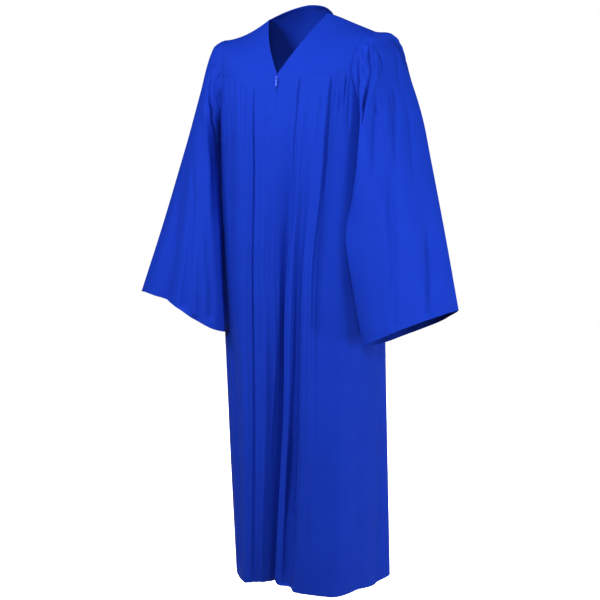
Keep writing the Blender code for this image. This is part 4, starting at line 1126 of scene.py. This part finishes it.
def make_yokes(fabric):
    made, grids = {}, {}
    for side in SIDES:
        name = f"yoke_front_{side}"
        grid = pulled_in(front_yoke_grid(side))
        rows, columns = arc(grid, 0), arc(grid, 1)
        dip = seam_dip(rows) + seam_dip(rows[-1:] - rows) + seam_dip(columns[:, -1:] - columns)
        grids[name] = drawn_in(grid, dip)
        outer = turned_first_columns(*grids[name], len(EDGE_ROWS))
        made[name] = shell(f"{name}_cloth", *outer, fabric)
    grid = pulled_in(back_yoke_grid())
    rows, columns = arc(grid, 0), arc(grid, 1)
    on_shoulder = ease((np.abs(grid[:1, :, 0]) - NECK_HALF) / NECK_FADE)
    dip = seam_dip(rows) * on_shoulder + seam_dip(rows[-1:] - rows)
    dip += seam_dip(np.minimum(columns, columns[:, -1:] - columns))
    grid, normals = grids["yoke_back"] = drawn_in(grid, dip)
    outer = turned(grid[::-1], normals[::-1], NECK_ROWS)
    made["yoke_back"] = shell("yoke_back_cloth", *outer, fabric)
    return made, grids


def drawn_in(grid, dip):
    """A yoke drawn in at its seams, with normals that don't lean along the shoulder seam."""
    grid = grid + panel_normals(grid) * dip[..., None]
    normals = panel_normals(grid)
    on_shoulder = np.abs(grid[0, :, 0]) > NECK_HALF - MM
    normals[0, on_shoulder, 1] = 0
    normals[0] = unit(normals[0])
    return grid, normals


def make_sleeves(fabric):
    made, grids = {}, {}
    for side in SIDES:
        name = f"sleeve_{side}"
        grid, degrees, shares = sleeve_grid(side)
        around, down = degrees[None, :], shares[:, None]
        offset = sleeve_fold_offset(around, down, side) + seam_dip(arc(grid, 0), SLEEVE_DIP)
        offset += head_gathers(around, down) + line_offset(grid, degrees, shares, side)
        grid = grid + tube_normals(grid) * offset[..., None]
        grids[name] = (grid, tube_normals(grid))
        outer = turned(*grids[name], len(HEM_ROWS))
        made[name] = shell(f"{name}_cloth", *outer, fabric, closed=True)
    return made, grids


# Stitches and zip

def rounded_bar(centre, along, across, out, length, width, height):
    """The points of a short bar with domed ends, ring by ring."""
    turns = 2 * math.pi * np.arange(BAR_SIDES)[:, None] / BAR_SIDES
    ring = np.cos(turns) * across * width / 2 + np.sin(turns) * out * height / 2
    return np.concatenate([centre + along * length * at + ring * size for at, size in BAR_RINGS])


def bars_object(name, bars, material):
    """Many bars in one mesh. Each end of a bar is closed by two halves."""
    rings = np.arange(BAR_SIDES * len(BAR_RINGS)).reshape(-1, BAR_SIDES)
    first, last = rings[0], rings[-1]
    sides = quads(np.concatenate([rings, rings[:, :1]], axis=1))
    ends = [first[[0, 5, 4, 3]], first[[0, 3, 2, 1]], last[[0, 1, 2, 3]], last[[0, 3, 4, 5]]]
    starts = rings.size * np.arange(len(bars))[:, None, None]
    faces = (np.concatenate([sides, ends]) + starts).reshape(-1, 4)
    return mesh_object(name, np.concatenate(bars), faces, material)


def stitch_run(name, line, normals, material, closed):
    """Stitches half sunk in the cloth along a line of its points."""
    if closed:
        line, normals = (np.concatenate([values, values[:1]]) for values in (line, normals))
    length, pitch, thick = STITCH
    measure = arc(line, 0)
    count = int(measure[-1] / pitch)
    bars = []
    for middle in (np.arange(count) + 0.5) * measure[-1] / count:
        start, end = (read_line(line, measure, middle + half * length / 2) for half in (-1, 1))
        out, along = unit(read_line(normals, measure, middle)), unit(end - start)
        across = unit(np.cross(out, along))
        bars.append(rounded_bar((start + end) / 2, along, across, out, length, thick, thick))
    return bars_object(name, bars, material)


def row_near_end(grid, distance):
    """The points at a distance above a grid's last row."""
    measure = arc(grid, 0)
    lines = zip(grid.transpose(1, 0, 2), measure.T)
    return np.array([read_line(line, along, along[-1] - distance) for line, along in lines])


def make_stitches(body_grids, yoke_grids, sleeve_grids, thread):
    runs = {}
    for name, grid in body_grids.items():
        line = row_near_end(grid, HEM_STITCH)
        runs[f"{name}_hem_stitches"] = line, panel_normals(grid)[HEM_STITCH_ROW]
    for name, (grid, normals) in sleeve_grids.items():
        line = row_near_end(grid, CUFF_STITCH)
        runs[f"{name}_cuff_stitches"] = line, normals[HEM_STITCH_ROW]
    for name, (grid, normals) in yoke_grids.items():
        if name == "yoke_back":
            stitched = np.abs(grid[0, :, 0]) < NECK_HALF - NECK_STITCH_END
            line, normals = row_near_end(grid[::-1], NECK_STITCH), normals[NECK_STITCH_ROW]
        else:
            stitched = STITCHED_ROWS
            line = row_near_end(grid.transpose(1, 0, 2)[::-1], NECK_STITCH)
            normals = normals[:, NECK_STITCH_ROW]
        runs[f"{name}_neck_stitches"] = line[stitched], normals[stitched]
    return {
        name: stitch_run(name, line, normals, thread, closed="cuff" in name)
        for name, (line, normals) in runs.items()
    }


def make_zip(body_grids, body_normals, coil, tape):
    """Two tapes behind the front edges with one coil of teeth down the middle."""
    right, left = body_grids["front_right"], body_grids["front_left"]
    seam = (right[:, -1] + left[:, 0]) / 2
    rows = np.nonzero(-seam[:, 2] <= CHAIN_END)[0]
    seam = seam[rows]
    inward = -unit(body_normals["front_right"][rows, -1] + body_normals["front_left"][rows, 0])
    asides = {"right": unit(right[rows, -3] - seam), "left": unit(left[rows, 2] - seam)}
    near, far, thick = TAPE
    steps = np.linspace(near, far, TAPE_COLUMNS)[None, :, None]
    made = {}
    for side, aside in asides.items():
        name = f"zip_tape_{side}"
        outer = seam[:, None] + steps * aside[:, None] + TAPE_BEHIND * inward[:, None]
        out = np.repeat(-inward[:, None], outer.shape[1], axis=1)
        made[name] = shell(name, outer, out, tape, thickness=thick)
    measure = arc(seam, 0)
    lines = seam, inward, unit(asides["left"] - asides["right"])
    teeth = []
    for number, at in enumerate(np.arange(TOOTH_PITCH, measure[-1] - TOOTH_PITCH, TOOTH_PITCH / 2)):
        point, deep, across = (read_line(line, measure, at) for line in lines)
        deep = unit(deep)
        across = unit(across - deep * np.dot(across, deep))
        aside = TOOTH_ASIDE if number % 2 else -TOOTH_ASIDE
        centre = point + deep * TOOTH_BEHIND + across * aside
        teeth.append(rounded_bar(centre, across, unit(np.cross(deep, across)), deep, *TOOTH))
    made["zip_coil"] = bars_object("zip_coil", teeth, coil)
    return made


# Room and light

def looks_along(thing, direction, roll=0.0):
    thing.rotation_mode = "QUATERNION"
    thing.rotation_quaternion = direction.to_track_quat("-Z", "Y") @ Quaternion((0, 0, 1), roll)


def make_camera():
    turn, tilt, roll = (math.radians(degrees) for degrees in CAMERA_TURNS)
    right = Vector((math.cos(turn), math.sin(turn), 0))
    ahead = Vector((-math.sin(turn), math.cos(turn), 0))
    data = bpy.data.cameras.new("camera")
    data.lens, data.sensor_width = LENS, SENSOR
    data.clip_start, data.clip_end = CLIP
    camera = linked("camera", data)
    aside, forward, up = CAMERA_PLACE
    camera.location = ahead * forward + right * aside + Vector((0, 0, up))
    looks_along(camera, ahead * math.cos(tilt) + Vector((0, 0, -math.sin(tilt))), roll)
    bpy.context.scene.camera = camera


def make_lamps():
    for azimuth, height, watts in LAMPS:
        around = math.radians(CAMERA_TURNS[0] + azimuth)
        name = f"lamp_{azimuth}_{height}"
        data = bpy.data.lights.new(name, "AREA")
        data.shape, data.size, data.energy = "DISK", LAMP_SIZE, watts
        lamp = linked(name, data)
        lamp.location = (math.sin(around) * LAMP_AWAY, -math.cos(around) * LAMP_AWAY, height)
        looks_along(lamp, Vector(LAMP_TARGET) - lamp.location)


def make_world():
    """A world that is white in the picture and nearly dark to the cloth."""
    scene = bpy.context.scene
    scene.view_settings.view_transform = "Standard"
    scene.view_settings.gamma = GAMMA
    world = bpy.data.worlds.new("studio")
    scene.world = world
    world.use_nodes = True
    nodes, links = world.node_tree.nodes, world.node_tree.links
    white = nodes["Background"]
    white.inputs["Color"].default_value = (1, 1, 1, 1)
    white.inputs["Strength"].default_value = 1.0
    soft = nodes.new("ShaderNodeBackground")
    soft.inputs["Strength"].default_value = AMBIENT
    mix = nodes.new("ShaderNodeMixShader")
    path = nodes.new("ShaderNodeLightPath")
    links.new(path.outputs["Is Camera Ray"], mix.inputs[0])
    links.new(soft.outputs[0], mix.inputs[1])
    links.new(white.outputs[0], mix.inputs[2])
    links.new(mix.outputs[0], nodes["World Output"].inputs["Surface"])


def make_floor():
    """A floor that is white in the picture and doesn't light the cloth."""
    floor = bpy.data.meshes.new("floor")
    corners = ((-1, -1), (1, -1), (1, 1), (-1, 1))
    points = [(x * FLOOR_REACH, y * FLOOR_REACH, FLOOR_HEIGHT) for x, y in corners]
    floor.from_pydata(points, [], [(0, 1, 2, 3)])
    pale = Nodes("floor")
    pale.set(Base_Color=(0.9, 0.9, 0.9, 1), Roughness=0.9)
    pale.set(Emission_Color=(1, 1, 1, 1), Emission_Strength=1.0)
    floor.materials.append(pale.material)
    thing = linked("floor", floor)
    thing.visible_diffuse = False


def main():
    fabric = cloth_material("royal_blue_polyester", *CLOTH_BLUES, 1.0 * MM)
    enamel = enamel_material("blue_enamel", (0.008, 0.05, 0.5))
    # The pull takes a paler copy of the slider's enamel: a painted highlight for the light the pull
    # catches, not a paler paint
    pull_enamel_painted_highlight = enamel_material("blue_enamel_painted_highlight", (0.02, 0.09, 0.62))
    coil = thread_material("zip_coil_blue", (0.010, 0.040, 0.45))
    thread = thread_material("blue_thread", (0.0090, 0.044, 0.40))
    tape = cloth_material("zip_tape_blue", *TAPE_BLUES, 0.6 * MM, 0.3)
    body, body_grids, body_normals = make_body(fabric)
    yokes, yoke_grids = make_yokes(fabric)
    sleeves, sleeve_grids = make_sleeves(fabric)
    cloths = {**body, **yokes, **sleeves}
    for name, piece in cloths.items():
        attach(piece, "gown")
        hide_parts(name)
    for piece in make_zip(body_grids, body_normals, coil, tape).values():
        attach(piece, "gown")
        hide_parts("zip_chain")
    stitches = make_stitches(body_grids, yoke_grids, sleeve_grids, thread)
    for piece in stitches.values():
        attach(piece, "gown")
    for name, material in (("zip_slider", enamel), ("zip_pull", pull_enamel_painted_highlight)):
        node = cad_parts[name]
        node.data.materials.clear()
        node.data.materials.append(material)
    make_world()
    make_floor()
    make_lamps()
    make_camera()


main()
